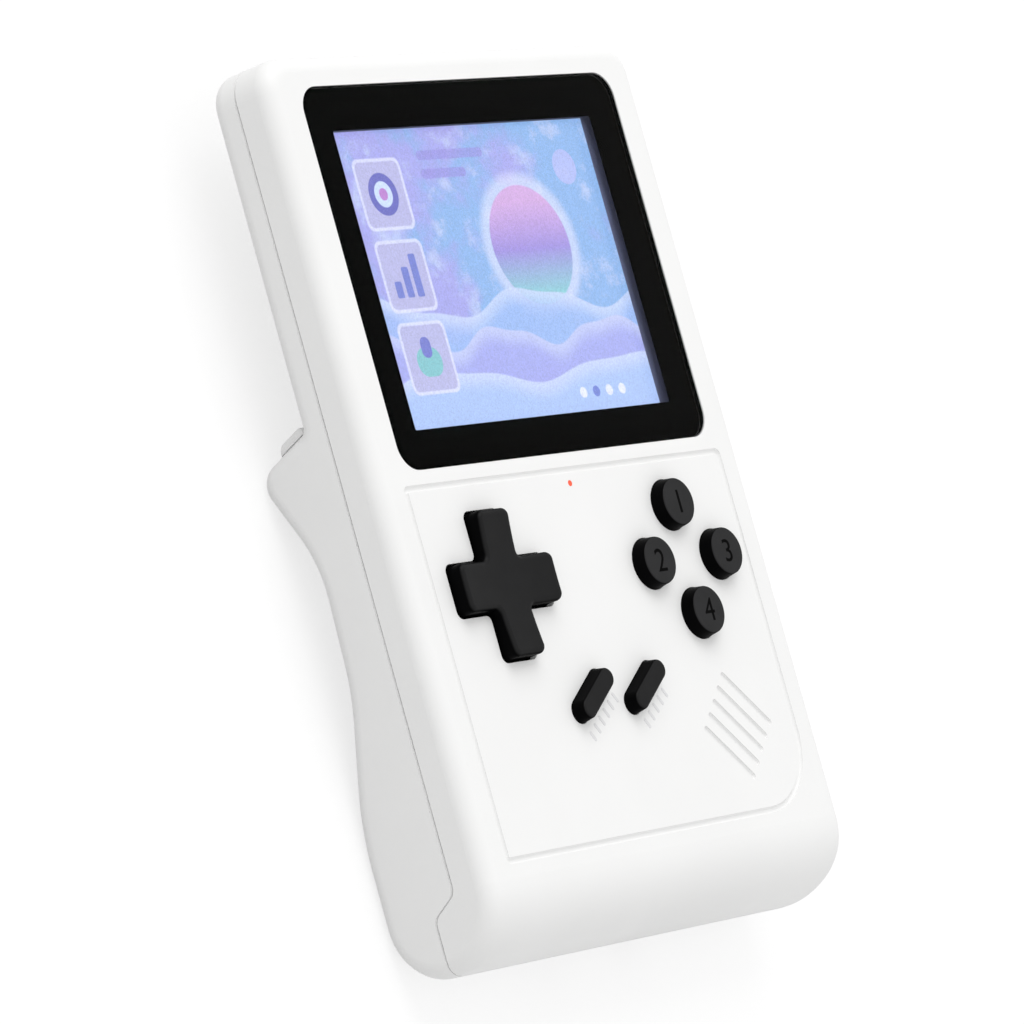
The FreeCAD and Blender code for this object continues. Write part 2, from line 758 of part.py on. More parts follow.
def front_shell():
    shape = walls().common(front_zone(0))
    shape = shape.cut(seam_relief(-1, SEAM_RELIEF))
    shape = shape.cut(lip_zone(WALL - LIP, -1, LIP_HEIGHT + 2 * LIP_PLAY))
    added = [rod(x, y, BOSS_RADIUS, BOSS_END_Z, INNER_FACE + 0.3) for x, y in case_screw_places()]
    added += [rod(x, y, SMALL_POST, BOARD_FRONT, INNER_FACE + 0.3) for x, y in board_screw_places()]
    rib = SPEAKER_RADIUS + SPEAKER_PLAY + SPEAKER_RIB
    added.append(rod(SPEAKER_X, SPEAKER_Y, rib, BOARD_FRONT, INNER_FACE + 0.3))
    shape = shape.fuse(added)
    half_width = LENS_WIDTH / 2 + LENS_PLAY
    half_height = LENS_HEIGHT / 2 + LENS_PLAY
    cuts = [
        rounded_box(-half_width, half_width, LENS_Y - half_height, LENS_Y + half_height,
                    LENS_CORNER + LENS_PLAY, LENS_SEAT, FACE + 1),
        rounded_box(-WINDOW_WIDTH / 2, WINDOW_WIDTH / 2, WINDOW_Y - WINDOW_HEIGHT / 2,
                    WINDOW_Y + WINDOW_HEIGHT / 2, WINDOW_CORNER, INNER_FACE - 1, FACE),
        panel_groove(),
        prism(cross_outline(CROSS_PLAY), INNER_FACE - 1, FACE + 1),
        rod(CROSS_X, CROSS_Y, CROSS_FLANGE + CROSS_PLAY, BOARD_FRONT, CROSS_POCKET),
        rod(LAMP_X, LAMP_Y, LAMP_RADIUS + LAMP_PLAY, INNER_FACE - 1, FACE + 1),
        rod(SPEAKER_X, SPEAKER_Y, SPEAKER_RADIUS + SPEAKER_PLAY, BOARD_FRONT - 1, INNER_FACE),
    ]
    for x, y in button_places().values():
        cuts.append(rod(x, y, BUTTON_RADIUS + BUTTON_PLAY, INNER_FACE - 1, FACE + 1))
    for x in (PILL_LEFT_X, PILL_RIGHT_X):
        cuts.append(pill_prism(x, BUTTON_PLAY, INNER_FACE - 1, FACE + 1))
    for index in range(SOUND_SLOTS):
        cuts.append(sound_slot(index))
    for x, y in case_screw_places():
        cuts.append(rod(x, y, SCREW_RADIUS + SCREW_PLAY, BOSS_END_Z - 1, INNER_FACE - HOLE_END))
    for x, y in board_screw_places():
        cuts.append(rod(x, y, SMALL_SCREW + SCREW_PLAY, BOARD_FRONT - 1, INNER_FACE))
    return shape.cut(cuts)


def bay_block():
    """Walls and roof of the battery bay with the housing of its contacts, not yet hollow."""
    wall_x = BAY_HALF + BAY_WALL
    top = BAY_CEILING + BAY_ROOF
    shape = box(-wall_x, wall_x, BAY_LOW_Y - BAY_WALL, BAY_TOP_Y + BAY_WALL, -1, top)
    half = CONTACT_HALF + BAY_WALL
    return shape.fuse(box(-half, half, BAY_TOP_Y, CONTACT_BACK + BAY_WALL, CONTACT_FLOOR, top))


def rear_cavity():
    """Hollow of the rear half, left solid at the bay, its ledge, the screw wells and the posts."""
    well = WELL_RADIUS + WELL_WALL
    kept = [bay_block(), cover_box(LEDGE, -1, BAY_CEILING).cut(case_body(COVER_SEAT + LEDGE))]
    kept += [rod(x, y, well, -1, CASE_SEAT_Z + CASE_SEAT) for x, y in case_screw_places()]
    kept += [rod(side * PORT_POST_X, PORT_POST_Y, SMALL_POST, -1, PORT_BOARD_Z) for side in (-1, 1)]
    kept += [rod_out(side * SHOULDER_POST_X, SHOULDER_MIDDLE, SMALL_POST, SHOULDER_BOARD_TOP, 1)
             for side in (-1, 1)]
    return carved(case_body(WALL), kept)


def rear_shell():
    shape = rounded_case().cut(rear_cavity()).cut(front_zone(-SEAM_GAP))
    shape = shape.cut([wheel_scoop(), power_scoop()])
    shape = shape.fuse(lip_zone(WALL - LIP + LIP_PLAY, -SEAM_GAP - 1, LIP_HEIGHT))
    cuts = [
        seam_relief(-SEAM_GAP - SEAM_RELIEF, 1),
        wheel_slot(),
        power_slot(),
        port_holes(),
        shoulder_hole(),
        box(-BAY_HALF, BAY_HALF, BAY_LOW_Y, BAY_TOP_Y, -1, BAY_CEILING),
        box(-CONTACT_HALF, CONTACT_HALF, BAY_TOP_Y - 1, CONTACT_BACK, CONTACT_LOW, BAY_CEILING),
        cover_box(0, -1, FACE / 2).cut(case_body(COVER_SEAT)),
    ]
    for x, y in case_screw_places():
        cuts.append(rod(x, y, WELL_RADIUS, -1, CASE_SEAT_Z))
        cuts.append(rod(x, y, SCREW_RADIUS + HOLE_PLAY, -1, CASE_SEAT_Z + 2 * CASE_SEAT))
    for side in (-1, 1):
        cuts.append(rod(side * PORT_POST_X, PORT_POST_Y, SMALL_SCREW + SCREW_PLAY,
                        PORT_BOARD_Z - PORT_SCREW_DEEP - HOLE_END, PORT_BOARD_Z + 1))
        cuts.append(rod_out(side * SHOULDER_POST_X, SHOULDER_MIDDLE, SMALL_SCREW + SCREW_PLAY,
                            SHOULDER_BOARD_TOP - 1, SHOULDER_BOARD_TOP + SHOULDER_SCREW_DEEP + HOLE_END))
    return carved(shape, cuts)


def battery_cover():
    plate = rounded_case().cut(case_body(COVER_THICK)).common(cover_box(-COVER_PLAY, -1, FACE / 2))
    grooves = []
    for index in range(THUMB_GROOVES):
        y = BAY_TOP_Y - THUMB_PITCH * (index + 1)
        level = back_level(y)
        grooves.append(rod_x(-THUMB_HALF, THUMB_HALF, y, level, THUMB_RADIUS))
    return plate.cut(grooves)


def back_level(y):
    """Height of the case's back at a place on the grip curve."""
    line = Part.makeLine(Vector(0, y, -1), Vector(0, y, FACE / 2))
    return line.common(side_prism(0)).BoundBox.ZMin


# Screen

def display_lens():
    half_width = LENS_WIDTH / 2
    half_height = LENS_HEIGHT / 2
    shape = rounded_box(-half_width, half_width, LENS_Y - half_height, LENS_Y + half_height,
                        LENS_CORNER, LENS_SEAT + BORDER_THICK, LENS_TOP)
    top = [edge for edge in shape.Edges if edge.BoundBox.ZMin > LENS_TOP - 1e-4]
    return shape.makeChamfer(LENS_CHAMFER, top)


def lens_border():
    """Black frame printed and taped behind the lens."""
    half_x = LENS_WIDTH / 2 - BORDER_MARGIN
    half_y = LENS_HEIGHT / 2 - BORDER_MARGIN
    top = LENS_SEAT + BORDER_THICK
    shape = rounded_box(-half_x, half_x, LENS_Y - half_y, LENS_Y + half_y, LENS_CORNER, LENS_SEAT, top)
    half_x = PICTURE_WIDTH / 2
    half_y = PICTURE_HEIGHT / 2
    return shape.cut(rounded_box(-half_x, half_x, WINDOW_Y - half_y, WINDOW_Y + half_y, PICTURE_CORNER,
                                 LENS_SEAT - 1, top + 1))


def lcd_frame():
    """Tray with the back light, whose rim stands proud of the glass."""
    half_x = SCREEN_WIDTH / 2
    half_y = SCREEN_HEIGHT / 2
    shape = box(-half_x, half_x, WINDOW_Y - half_y, WINDOW_Y + half_y, SCREEN_BACK, SCREEN_TOP)
    inner_x = half_x - TRAY_RIM
    inner_y = half_y - TRAY_RIM
    pocket = box(-inner_x, inner_x, WINDOW_Y - inner_y, WINDOW_Y + inner_y,
                 GLASS_TOP - GLASS_THICK, SCREEN_TOP + 1)
    return shape.cut(pocket)


def lcd_glass():
    half_x = SCREEN_WIDTH / 2 - TRAY_RIM - TRAY_PLAY
    half_y = SCREEN_HEIGHT / 2 - TRAY_RIM - TRAY_PLAY
    return box(-half_x, half_x, WINDOW_Y - half_y, WINDOW_Y + half_y, GLASS_TOP - GLASS_THICK, GLASS_TOP)


def lcd_tape():
    half_x = SCREEN_WIDTH / 2 - TAPE_MARGIN
    half_y = SCREEN_HEIGHT / 2 - TAPE_MARGIN
    return box(-half_x, half_x, WINDOW_Y - half_y, WINDOW_Y + half_y, BOARD_FRONT, SCREEN_BACK)


def display_ribbon():
    """Strip from the edge of the tray, down through the board and back to its socket."""
    top = SCREEN_BACK + RIBBON_RISE
    low = BOARD_BACK - RIBBON_DROP
    thick = RIBBON_THICK
    return joined([
        box(-RIBBON_HALF, RIBBON_HALF, RIBBON_Y - thick, SCREEN_LOW_Y, top - thick, top),
        box(-RIBBON_HALF, RIBBON_HALF, RIBBON_Y - thick, RIBBON_Y, low, top),
        box(-RIBBON_HALF, RIBBON_HALF, RIBBON_Y - thick, SOCKET_Y, low, low + thick),
    ])


def ribbon_socket():
    half = RIBBON_HALF + SOCKET_MARGIN
    return box(-half, half, SOCKET_Y, SOCKET_Y + SOCKET_WIDTH, BOARD_BACK - SOCKET_THICK, BOARD_BACK)


# Boards

def main_board():
    corners = [(-BOARD_HALF, BOARD_TOP), (BOARD_HALF, BOARD_TOP), (BOARD_HALF, BOARD_STEP_Y),
               (BOARD_STEP_X, BOARD_STEP_Y), (BOARD_STEP_X, BOARD_BOTTOM), (-BOARD_HALF, BOARD_BOTTOM)]
    wire = outline([(Vector(x, y, 0), BOARD_CORNER) for x, y in corners])
    shape = prism(wire, BOARD_BACK, BOARD_FRONT)
    cuts = [rod(x, y, BOSS_RADIUS + 2 * HOLE_PLAY, BOARD_BACK - 1, BOARD_FRONT + 1)
            for x, y in case_screw_places()]
    cuts += [rod(x, y, SMALL_SCREW + HOLE_PLAY, BOARD_BACK - 1, BOARD_FRONT + 1)
             for x, y in board_screw_places()]
    half = RIBBON_HALF + RIBBON_PLAY
    cuts.append(box(-half, half, RIBBON_Y - RIBBON_THICK - RIBBON_PLAY, RIBBON_Y + RIBBON_PLAY,
                    BOARD_BACK - 1, BOARD_FRONT + 1))
    return shape.cut(cuts)


def board_chips():
    shapes = []
    for x, y, width, height, thick in CHIPS:
        shapes.append(box(x - width / 2, x + width / 2, y - height / 2, y + height / 2,
                          BOARD_BACK - thick, BOARD_BACK))
    return Part.makeCompound(shapes)


def led_chip():
    half_x = LED_LENGTH / 2
    half_y = LED_WIDTH / 2
    return box(LAMP_X - half_x, LAMP_X + half_x, LAMP_Y - half_y, LAMP_Y + half_y,
               BOARD_FRONT, BOARD_FRONT + LED_THICK)


def light_pipe():
    stem = rod(LAMP_X, LAMP_Y, LAMP_RADIUS, BOARD_FRONT + LED_THICK + LAMP_GAP, FACE)
    flange = rod(LAMP_X, LAMP_Y, LAMP_FLANGE, INNER_FACE - LAMP_FLANGE_THICK, INNER_FACE)
    return joined([stem, flange])


# Controls

def dpad():
    rise = CROSS_TIP_RISE - CROSS_CENTRE_RISE
    reach = CROSS_LENGTH / 2
    dish = (reach * reach + rise * rise) / (2 * rise)
    shape = prism(cross_outline(0), CROSS_FLANGE_BACK, FACE + 2 * CROSS_TIP_RISE)
    shape = shape.cut(Part.makeSphere(dish, Vector(CROSS_X, CROSS_Y, FACE + CROSS_CENTRE_RISE + dish)))
    top = [edge for edge in shape.Edges if edge.BoundBox.ZMin > FACE + CROSS_CENTRE_RISE - 0.01
           and edge.BoundBox.ZLength < rise + 0.01]
    shape = shape.makeFillet(CROSS_EDGE_ROUND, top)
    flange = rod(CROSS_X, CROSS_Y, CROSS_FLANGE, CROSS_FLANGE_BACK, CROSS_FLANGE_TOP)
    socket = Part.makeSphere(PIVOT_BALL + PIVOT_PLAY, Vector(CROSS_X, CROSS_Y, PIVOT_Z))
    return shape.fuse(flange).cut(socket)


def dpad_pivot():
    return Part.makeSphere(PIVOT_BALL, Vector(CROSS_X, CROSS_Y, PIVOT_Z))


def dome(x, y, top):
    place = Vector(x, y, BOARD_FRONT)
    return Part.makeCone(DOME_RADIUS, DOME_TAPER * DOME_RADIUS, top - BOARD_FRONT, place)


def dpad_membrane():
    sheet = rod(CROSS_X, CROSS_Y, PAD_RADIUS, BOARD_FRONT, SHEET_TOP)
    reach = CROSS_LENGTH / 2 - DOME_RADIUS - 1
    domes = [dome(CROSS_X + dx * reach, CROSS_Y + dy * reach, CROSS_DOME_TOP)
             for dx, dy in ((1, 0), (-1, 0), (0, 1), (0, -1))]
    return joined([sheet] + domes)


def action_membrane():
    sheet = rod(ACTION_X, ACTION_Y, PAD_RADIUS, BOARD_FRONT, SHEET_TOP)
    domes = [dome(x, y, BUTTON_DOME_TOP) for x, y in button_places().values()]
    return joined([sheet] + domes)


def pill_membrane():
    middle = (PILL_LEFT_X + PILL_RIGHT_X) / 2
    half_x = PILL_SHEET_WIDTH / 2
    half_y = PILL_SHEET_HEIGHT / 2
    sheet = rounded_box(middle - half_x, middle + half_x, PILL_Y - half_y, PILL_Y + half_y,
                        PILL_SHEET_CORNER, BOARD_FRONT, SHEET_TOP)
    domes = [dome(x, PILL_Y, BUTTON_DOME_TOP) for x in (PILL_LEFT_X, PILL_RIGHT_X)]
    return joined([sheet] + domes)


def round_button(x, y):
    flange = BUTTON_RADIUS + BUTTON_FLANGE
    top = FACE + BUTTON_RISE
    points = [
        Vector(0, 0, BUTTON_FLANGE_BACK), Vector(flange, 0, BUTTON_FLANGE_BACK),
        Vector(flange, 0, BUTTON_FLANGE_TOP), Vector(BUTTON_RADIUS, 0, BUTTON_FLANGE_TOP),
        Vector(BUTTON_RADIUS, 0, FACE), Vector(BUTTON_TOP_RADIUS, 0, top), Vector(0, 0, top),
    ]
    face = Part.Face(Part.makePolygon(points + [points[0]]))
    shape = face.revolve(Vector(0, 0, 0), Vector(0, 0, 1), 360)
    rim = [edge for edge in shape.Edges if edge.BoundBox.ZMin > top - 1e-4 and edge.BoundBox.XLength > 1]
    shape = shape.makeFillet(BUTTON_ROUND, rim)
    shape.translate(Vector(x, y, 0))
    return shape


def pill_button(x):
    flange = pill_prism(x, BUTTON_FLANGE, BUTTON_FLANGE_BACK, BUTTON_FLANGE_TOP)
    stem = pill_prism(x, 0, BUTTON_FLANGE_BACK, FACE)
    cap = Part.makeLoft([pill_outline(x, 0, FACE), pill_outline(x, -PILL_SLOPE, FACE + PILL_RISE)], True, True)
    top = [edge for edge in cap.Edges if edge.BoundBox.ZMin > FACE + PILL_RISE - 1e-4]
    cap = cap.makeFillet(PILL_ROUND, top)
    return flange.fuse([stem, cap]).removeSplitter()


# Sound

def speaker_frame():
    front = INNER_FACE - SPEAKER_PLAY
    back = front - SPEAKER_THICK
    shape = rod(SPEAKER_X, SPEAKER_Y, SPEAKER_RADIUS, front - SPEAKER_PLATE, front)
    magnet = rod(SPEAKER_X, SPEAKER_Y, MAGNET_RADIUS, back, front - SPEAKER_PLATE / 2)
    return shape.fuse(magnet).cut(cone_hollow(0)).removeSplitter()


def cone_hollow(shift):
    place = Vector(SPEAKER_X, SPEAKER_Y, INNER_FACE - SPEAKER_PLAY - CONE_DEEP + shift)
    return Part.makeCone(CONE_INNER, CONE_OUTER, CONE_DEEP, place)


def speaker_cone():
    low = INNER_FACE - SPEAKER_PLAY - CONE_DEEP
    dust_cap = rod(SPEAKER_X, SPEAKER_Y, CAP_RADIUS, low, low + 2 * CONE_WALL)
    return cone_hollow(0).cut(cone_hollow(CONE_WALL)).fuse(dust_cap).removeSplitter()


# Shoulder buttons

def shoulder_button():
    """The right one: a rounded bar with a flange inside the hump."""
    start = SHOULDER_START
    end = start + SHOULDER_WIDTH
    low = -WALL - FLANGE_GAP
    corners = [(start, low, 0), (end, low, 0), (end, SHOULDER_RISE, SHOULDER_ROUND),
               (start, SHOULDER_RISE, SHOULDER_ROUND / 2)]
    wire = outline([(SLOPE_ROOT + SLOPE_DOWN * along + SLOPE_OUT * out, radius)
                    for along, out, radius in corners])
    bar = Part.Face(wire).extrude(Vector(SHOULDER_OUTER_X - SHOULDER_INNER_X, 0, 0))
    bar.translate(Vector(SHOULDER_INNER_X, 0, 0))
    ends = [edge for edge in bar.Edges if edge.BoundBox.XLength < 1e-4 and outside_slope(edge)]
    bar = bar.makeFillet(SHOULDER_END_ROUND, ends).cut(shoulder_neck(start, end))
    grow = SHOULDER_FLANGE
    flange = slope_block(SHOULDER_INNER_X - grow, SHOULDER_OUTER_X + grow, start - grow, end + grow,
                         low - FLANGE_THICK, low)
    return bar.fuse(flange).removeSplitter()


def shoulder_neck(start, end):
    """Shadow groove round the foot of the bar."""
    neck = SHOULDER_NECK
    around = slope_block(SHOULDER_INNER_X - neck, SHOULDER_OUTER_X + neck, start - neck, end + neck,
                         SHOULDER_NECK_LOW, SHOULDER_NECK_HIGH)
    kept = slope_block(SHOULDER_INNER_X + neck, SHOULDER_OUTER_X - neck, start + neck, end - neck,
                       SHOULDER_NECK_LOW - 1, SHOULDER_NECK_HIGH + 1)
    return around.cut(kept)


def outside_slope(edge):
    middle = edge.valueAt((edge.FirstParameter + edge.LastParameter) / 2)
    return (middle - SLOPE_ROOT).dot(SLOPE_OUT) > SHOULDER_RISE / 2 + 0.2


def shoulder_board():
    low = SHOULDER_BOARD_TOP - SHOULDER_BOARD_THICK
    half = SHOULDER_BOARD_WIDTH / 2
    shape = slope_block(-SHOULDER_BOARD_HALF, SHOULDER_BOARD_HALF, SHOULDER_MIDDLE - half,
                        SHOULDER_MIDDLE + half, low, SHOULDER_BOARD_TOP)
    holes = [rod_out(side * SHOULDER_POST_X, SHOULDER_MIDDLE, SMALL_SCREW + HOLE_PLAY,
                     low - 1, SHOULDER_BOARD_TOP + 1) for side in (-1, 1)]
    return shape.cut(holes)


def shoulder_switches():
    half = SHOULDER_SWITCH_SIDE / 2
    top = SHOULDER_BOARD_TOP + SHOULDER_SWITCH_THICK
    shapes = []
    for side in (-1, 1):
        x = side * SHOULDER_SWITCH_X
        base = slope_block(x - half, x + half, SHOULDER_MIDDLE - half, SHOULDER_MIDDLE + half,
                           SHOULDER_BOARD_TOP, top - SHOULDER_PLUNGER_RISE)
        plunger = rod_out(x, SHOULDER_MIDDLE, SHOULDER_PLUNGER, SHOULDER_BOARD_TOP, top)
        shapes.append(joined([base, plunger]))
    return Part.makeCompound(shapes)


# Volume and power

def volume_pot():
    base = rod(WHEEL_X, WHEEL_Y, POT_RADIUS, BOARD_BACK - POT_THICK, BOARD_BACK)
    shaft = rod(WHEEL_X, WHEEL_Y, WHEEL_SHAFT, WHEEL_BACK, BOARD_BACK)
    return joined([base, shaft])


def volume_wheel():
    shape = rod(WHEEL_X, WHEEL_Y, WHEEL_RADIUS, WHEEL_BACK, WHEEL_FRONT)
    cuts = [rod(WHEEL_X, WHEEL_Y, WHEEL_SHAFT + WHEEL_RUN, WHEEL_BACK - 1, WHEEL_FRONT + 1)]
    reach = WHEEL_RADIUS + WHEEL_TOOTH_OUT
    for index in range(WHEEL_TEETH):
        angle = 2 * math.pi * index / WHEEL_TEETH
        x = WHEEL_X + reach * math.cos(angle)
        y = WHEEL_Y + reach * math.sin(angle)
        cuts.append(rod(x, y, WHEEL_TOOTH, WHEEL_BACK - 1, WHEEL_FRONT + 1))
    return shape.cut(cuts)


def power_switch():
    front = BOARD_TOP - POWER_SWITCH_BACK
    half = POWER_KNOB / 2 + POWER_SWITCH_MARGIN
    return box(POWER_X - half, POWER_X + half + POWER_TRAVEL, front - POWER_SWITCH_DEEP, front,
               POWER_LOW - POWER_FLANGE_LOW, BOARD_BACK)


def power_slider():
    back = BOARD_TOP - POWER_SWITCH_BACK + POWER_GAP
    high = POWER_LOW + POWER_HEIGHT
    half = POWER_KNOB / 2
    wide = half + POWER_FLANGE
    flange = box(POWER_X - wide, POWER_X + wide, back, TOP - WALL - POWER_GAP,
                 POWER_LOW - POWER_FLANGE_LOW, high + POWER_FLANGE_HIGH)
    knob = box(POWER_X - half, POWER_X + half, back, TOP - POWER_SUNK, POWER_LOW, high)
    grooves = []
    for index in range(POWER_GROOVES):
        middle = POWER_X + (index - (POWER_GROOVES - 1) / 2) * POWER_GROOVE_PITCH
        grooves.append(box(middle - POWER_GROOVE_HALF, middle + POWER_GROOVE_HALF,
                           TOP - POWER_SUNK - POWER_GROOVE_DEEP, TOP, POWER_LOW - 1, high + 1))
    return joined([flange, knob]).cut(grooves)


# Sockets

def port_board():
    shape = rounded_box(-PORT_BOARD_HALF, PORT_BOARD_HALF, PORT_BOARD_FRONT, PORT_BOARD_BACK, 1.0,
                        PORT_BOARD_Z, PORT_BOARD_Z + BOARD_THICK)
    holes = [rod(side * PORT_POST_X, PORT_POST_Y, SMALL_SCREW + HOLE_PLAY,
                 PORT_BOARD_Z - 1, PORT_BOARD_Z + 2 * BOARD_THICK) for side in (-1, 1)]
    return shape.cut(holes)


def usb_port():
    """A socket that hangs from its board on a tall stand, level with the bulge."""
    low = USB_Z - USB_HEIGHT / 2
    high = USB_Z + USB_HEIGHT / 2
    mouth = BOTTOM + USB_SUNK
    end = mouth + USB_LENGTH
    half = USB_WIDTH / 2
    shell = box(USB_X - half, USB_X + half, mouth, end, low, high)
    cave = box(USB_X - half + USB_WALL, USB_X + half - USB_WALL, mouth - 1, end - USB_BACK_WALL,
               low + USB_WALL, high - USB_WALL)
    tongue = box(USB_X - USB_TONGUE_HALF, USB_X + USB_TONGUE_HALF, mouth + USB_TONGUE_SUNK,
                 end - USB_BACK_WALL / 2, USB_Z - USB_TONGUE_THICK / 2, USB_Z + USB_TONGUE_THICK / 2)
    stand_half = half - USB_STAND_INSET
    stand = box(USB_X - stand_half, USB_X + stand_half, PORT_BOARD_FRONT + USB_STAND_INSET, end,
                high, PORT_BOARD_Z)
    return shell.cut(cave).fuse([tongue, stand]).removeSplitter()


def headphone_jack():
    mouth = BOTTOM + JACK_SUNK
    start = BOTTOM + JACK_BLOCK_START
    half = JACK_NOSE + JACK_SIDE
    block = box(JACK_X - half, JACK_X + half, start, mouth + JACK_DEPTH + JACK_END_WALL,
                JACK_Z - JACK_NOSE, PORT_BOARD_Z)
    nose = rod_y(JACK_X, JACK_Z, JACK_NOSE, mouth, start + 1)
    bore = rod_y(JACK_X, JACK_Z, JACK_BORE, mouth - 1, mouth + JACK_DEPTH)
    return block.fuse(nose).cut(bore).removeSplitter()


# Battery

def battery_cell():
    half = CELL_WIDTH / 2
    shape = box(-half, half, CELL_TOP_Y - CELL_LENGTH, CELL_TOP_Y, CELL_Z, CELL_Z + CELL_THICK)
    long_edges = [edge for edge in shape.Edges if edge.BoundBox.YLength > 1]
    return shape.makeFillet(CELL_ROUND, long_edges)


def contact_block():
    half = CONTACT_HALF - CONTACT_PLAY
    return box(-half, half, BAY_TOP_Y + CONTACT_PLAY, CONTACT_BACK - CONTACT_PLAY,
               CONTACT_LOW + CONTACT_PLAY, BAY_CEILING - CONTACT_PLAY)


def battery_contacts():
    half = CONTACT_WIDTH / 2
    shapes = []
    for index in range(CONTACT_COUNT):
        x = (index - (CONTACT_COUNT - 1) / 2) * CONTACT_PITCH
        shapes.append(box(x - half, x + half, CELL_TOP_Y + CONTACT_PLAY / 2, BAY_TOP_Y + CONTACT_PLAY,
                          CONTACT_LOW + CONTACT_INSET, BAY_CEILING - CONTACT_INSET))
    return Part.makeCompound(shapes)


# Fasteners

def screw(radius, head, head_thick, length):
    """Standing on its head, shank upwards."""
    shape = joined([Part.makeCylinder(head, head_thick), Part.makeCylinder(radius, head_thick + length)])
    reach = 0.62 * head
    width = 0.16 * head
    deep = 0.55 * head_thick
    recess = box(-reach, reach, -width, width, -1, deep).fuse(box(-width, width, -reach, reach, -1, deep))
    return shape.cut(recess)


def placed(shape, x, y, z):
    shape = shape.copy()
    shape.translate(Vector(x, y, z))
    return shape


def case_screws():
    length = INNER_FACE - 2 * HOLE_END - CASE_SEAT_Z
    pattern = screw(SCREW_RADIUS, SCREW_HEAD, SCREW_HEAD_THICK, length)
    start = CASE_SEAT_Z - SCREW_HEAD_THICK
    return Part.makeCompound([placed(pattern, x, y, start) for x, y in case_screw_places()])


def board_screws():
    length = INNER_FACE - HOLE_END - BOARD_BACK
    pattern = screw(SMALL_SCREW, SMALL_HEAD, SMALL_HEAD_THICK, length)
    start = BOARD_BACK - SMALL_HEAD_THICK
    return Part.makeCompound([placed(pattern, x, y, start) for x, y in board_screw_places()])


def port_screws():
    pattern = screw(SMALL_SCREW, SMALL_HEAD, SMALL_HEAD_THICK, BOARD_THICK + PORT_SCREW_DEEP)
    pattern.rotate(Vector(0, 0, 0), Vector(1, 0, 0), 180)
    top = PORT_BOARD_Z + BOARD_THICK + SMALL_HEAD_THICK
    return Part.makeCompound([placed(pattern, side * PORT_POST_X, PORT_POST_Y, top) for side in (-1, 1)])


def shoulder_screws():
    low = SHOULDER_BOARD_TOP - SHOULDER_BOARD_THICK - SMALL_HEAD_THICK
    pattern = screw(SMALL_SCREW, SMALL_HEAD, SMALL_HEAD_THICK, SHOULDER_BOARD_THICK + SHOULDER_SCREW_DEEP)
    turn = FreeCAD.Rotation(Vector(0, 0, 1), SLOPE_OUT)
    place = SLOPE_ROOT + SLOPE_DOWN * SHOULDER_MIDDLE + SLOPE_OUT * low
    shapes = []
    for side in (-1, 1):
        one = pattern.copy()
        one.Placement = FreeCAD.Placement(place + Vector(side * SHOULDER_POST_X, 0, 0), turn)
        shapes.append(one)
    return Part.makeCompound(shapes)


def main():
    save(front_shell(), "front_shell")
    save(rear_shell(), "rear_shell")
    save(battery_cover(), "battery_cover")
    save(display_lens(), "display_lens")
    save(lens_border(), "lens_border")
    save(lcd_glass(), "lcd_glass")
    save(lcd_frame(), "lcd_frame")
    save(lcd_tape(), "lcd_tape")
    save(display_ribbon(), "display_ribbon")
    save(ribbon_socket(), "ribbon_socket")
    save(main_board(), "main_board")
    save(board_chips(), "board_chips")
    save(led_chip(), "led_chip")
    save(light_pipe(), "light_pipe")
    save(dpad(), "dpad")
    save(dpad_pivot(), "dpad_pivot")
    save(dpad_membrane(), "dpad_membrane")
    for node, (x, y) in button_places().items():
        save(round_button(x, y), node)
    save(action_membrane(), "action_membrane")
    save(pill_button(PILL_LEFT_X), "select_button")
    save(pill_button(PILL_RIGHT_X), "start_button")
    save(pill_membrane(), "pill_membrane")
    right = shoulder_button()
    save(right, "shoulder_right")
    save(mirrored(right), "shoulder_left")
    save(shoulder_board(), "shoulder_board")
    save(shoulder_switches(), "shoulder_switches")
    save(speaker_frame(), "speaker_frame")
    save(speaker_cone(), "speaker_cone")
    save(volume_pot(), "volume_pot")
    save(volume_wheel(), "volume_wheel")
    save(power_switch(), "power_switch")
    save(power_slider(), "power_slider")
    save(port_board(), "port_board")
    save(usb_port(), "usb_port")
    save(headphone_jack(), "headphone_jack")
    save(battery_cell(), "battery_cell")
    save(contact_block(), "contact_block")
    save(battery_contacts(), "battery_contacts")
    save(case_screws(), "case_screws")
    save(board_screws(), "board_screws")
    save(port_screws(), "port_screws")
    save(shoulder_screws(), "shoulder_screws")


main()
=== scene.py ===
import math

import bmesh
import bpy
from bpy.props import FloatProperty, FloatVectorProperty, PointerProperty, StringProperty
from mathutils import Matrix, Vector


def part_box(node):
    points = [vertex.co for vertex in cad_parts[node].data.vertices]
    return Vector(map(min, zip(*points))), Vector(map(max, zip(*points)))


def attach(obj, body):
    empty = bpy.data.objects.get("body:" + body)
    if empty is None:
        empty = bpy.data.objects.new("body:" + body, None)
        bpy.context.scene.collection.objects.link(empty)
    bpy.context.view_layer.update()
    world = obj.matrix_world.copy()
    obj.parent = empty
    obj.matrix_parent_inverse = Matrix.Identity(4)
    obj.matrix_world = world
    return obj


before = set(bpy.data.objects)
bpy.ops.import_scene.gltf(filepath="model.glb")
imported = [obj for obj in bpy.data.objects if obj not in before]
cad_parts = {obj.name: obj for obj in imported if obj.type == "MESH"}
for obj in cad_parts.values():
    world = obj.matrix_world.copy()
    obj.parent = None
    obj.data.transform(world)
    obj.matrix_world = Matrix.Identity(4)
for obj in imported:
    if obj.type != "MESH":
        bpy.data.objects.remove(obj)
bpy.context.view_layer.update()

bl_info = {
    "name": "Handheld Console Finishes",
    "version": (1, 0, 0),
    "blender": (4, 5, 0),
    "location": "View3D > Sidebar > Console",
    "description": "Gives a handheld game console its finishes, printed marks, lit picture and studio",
    "category": "Object",
}

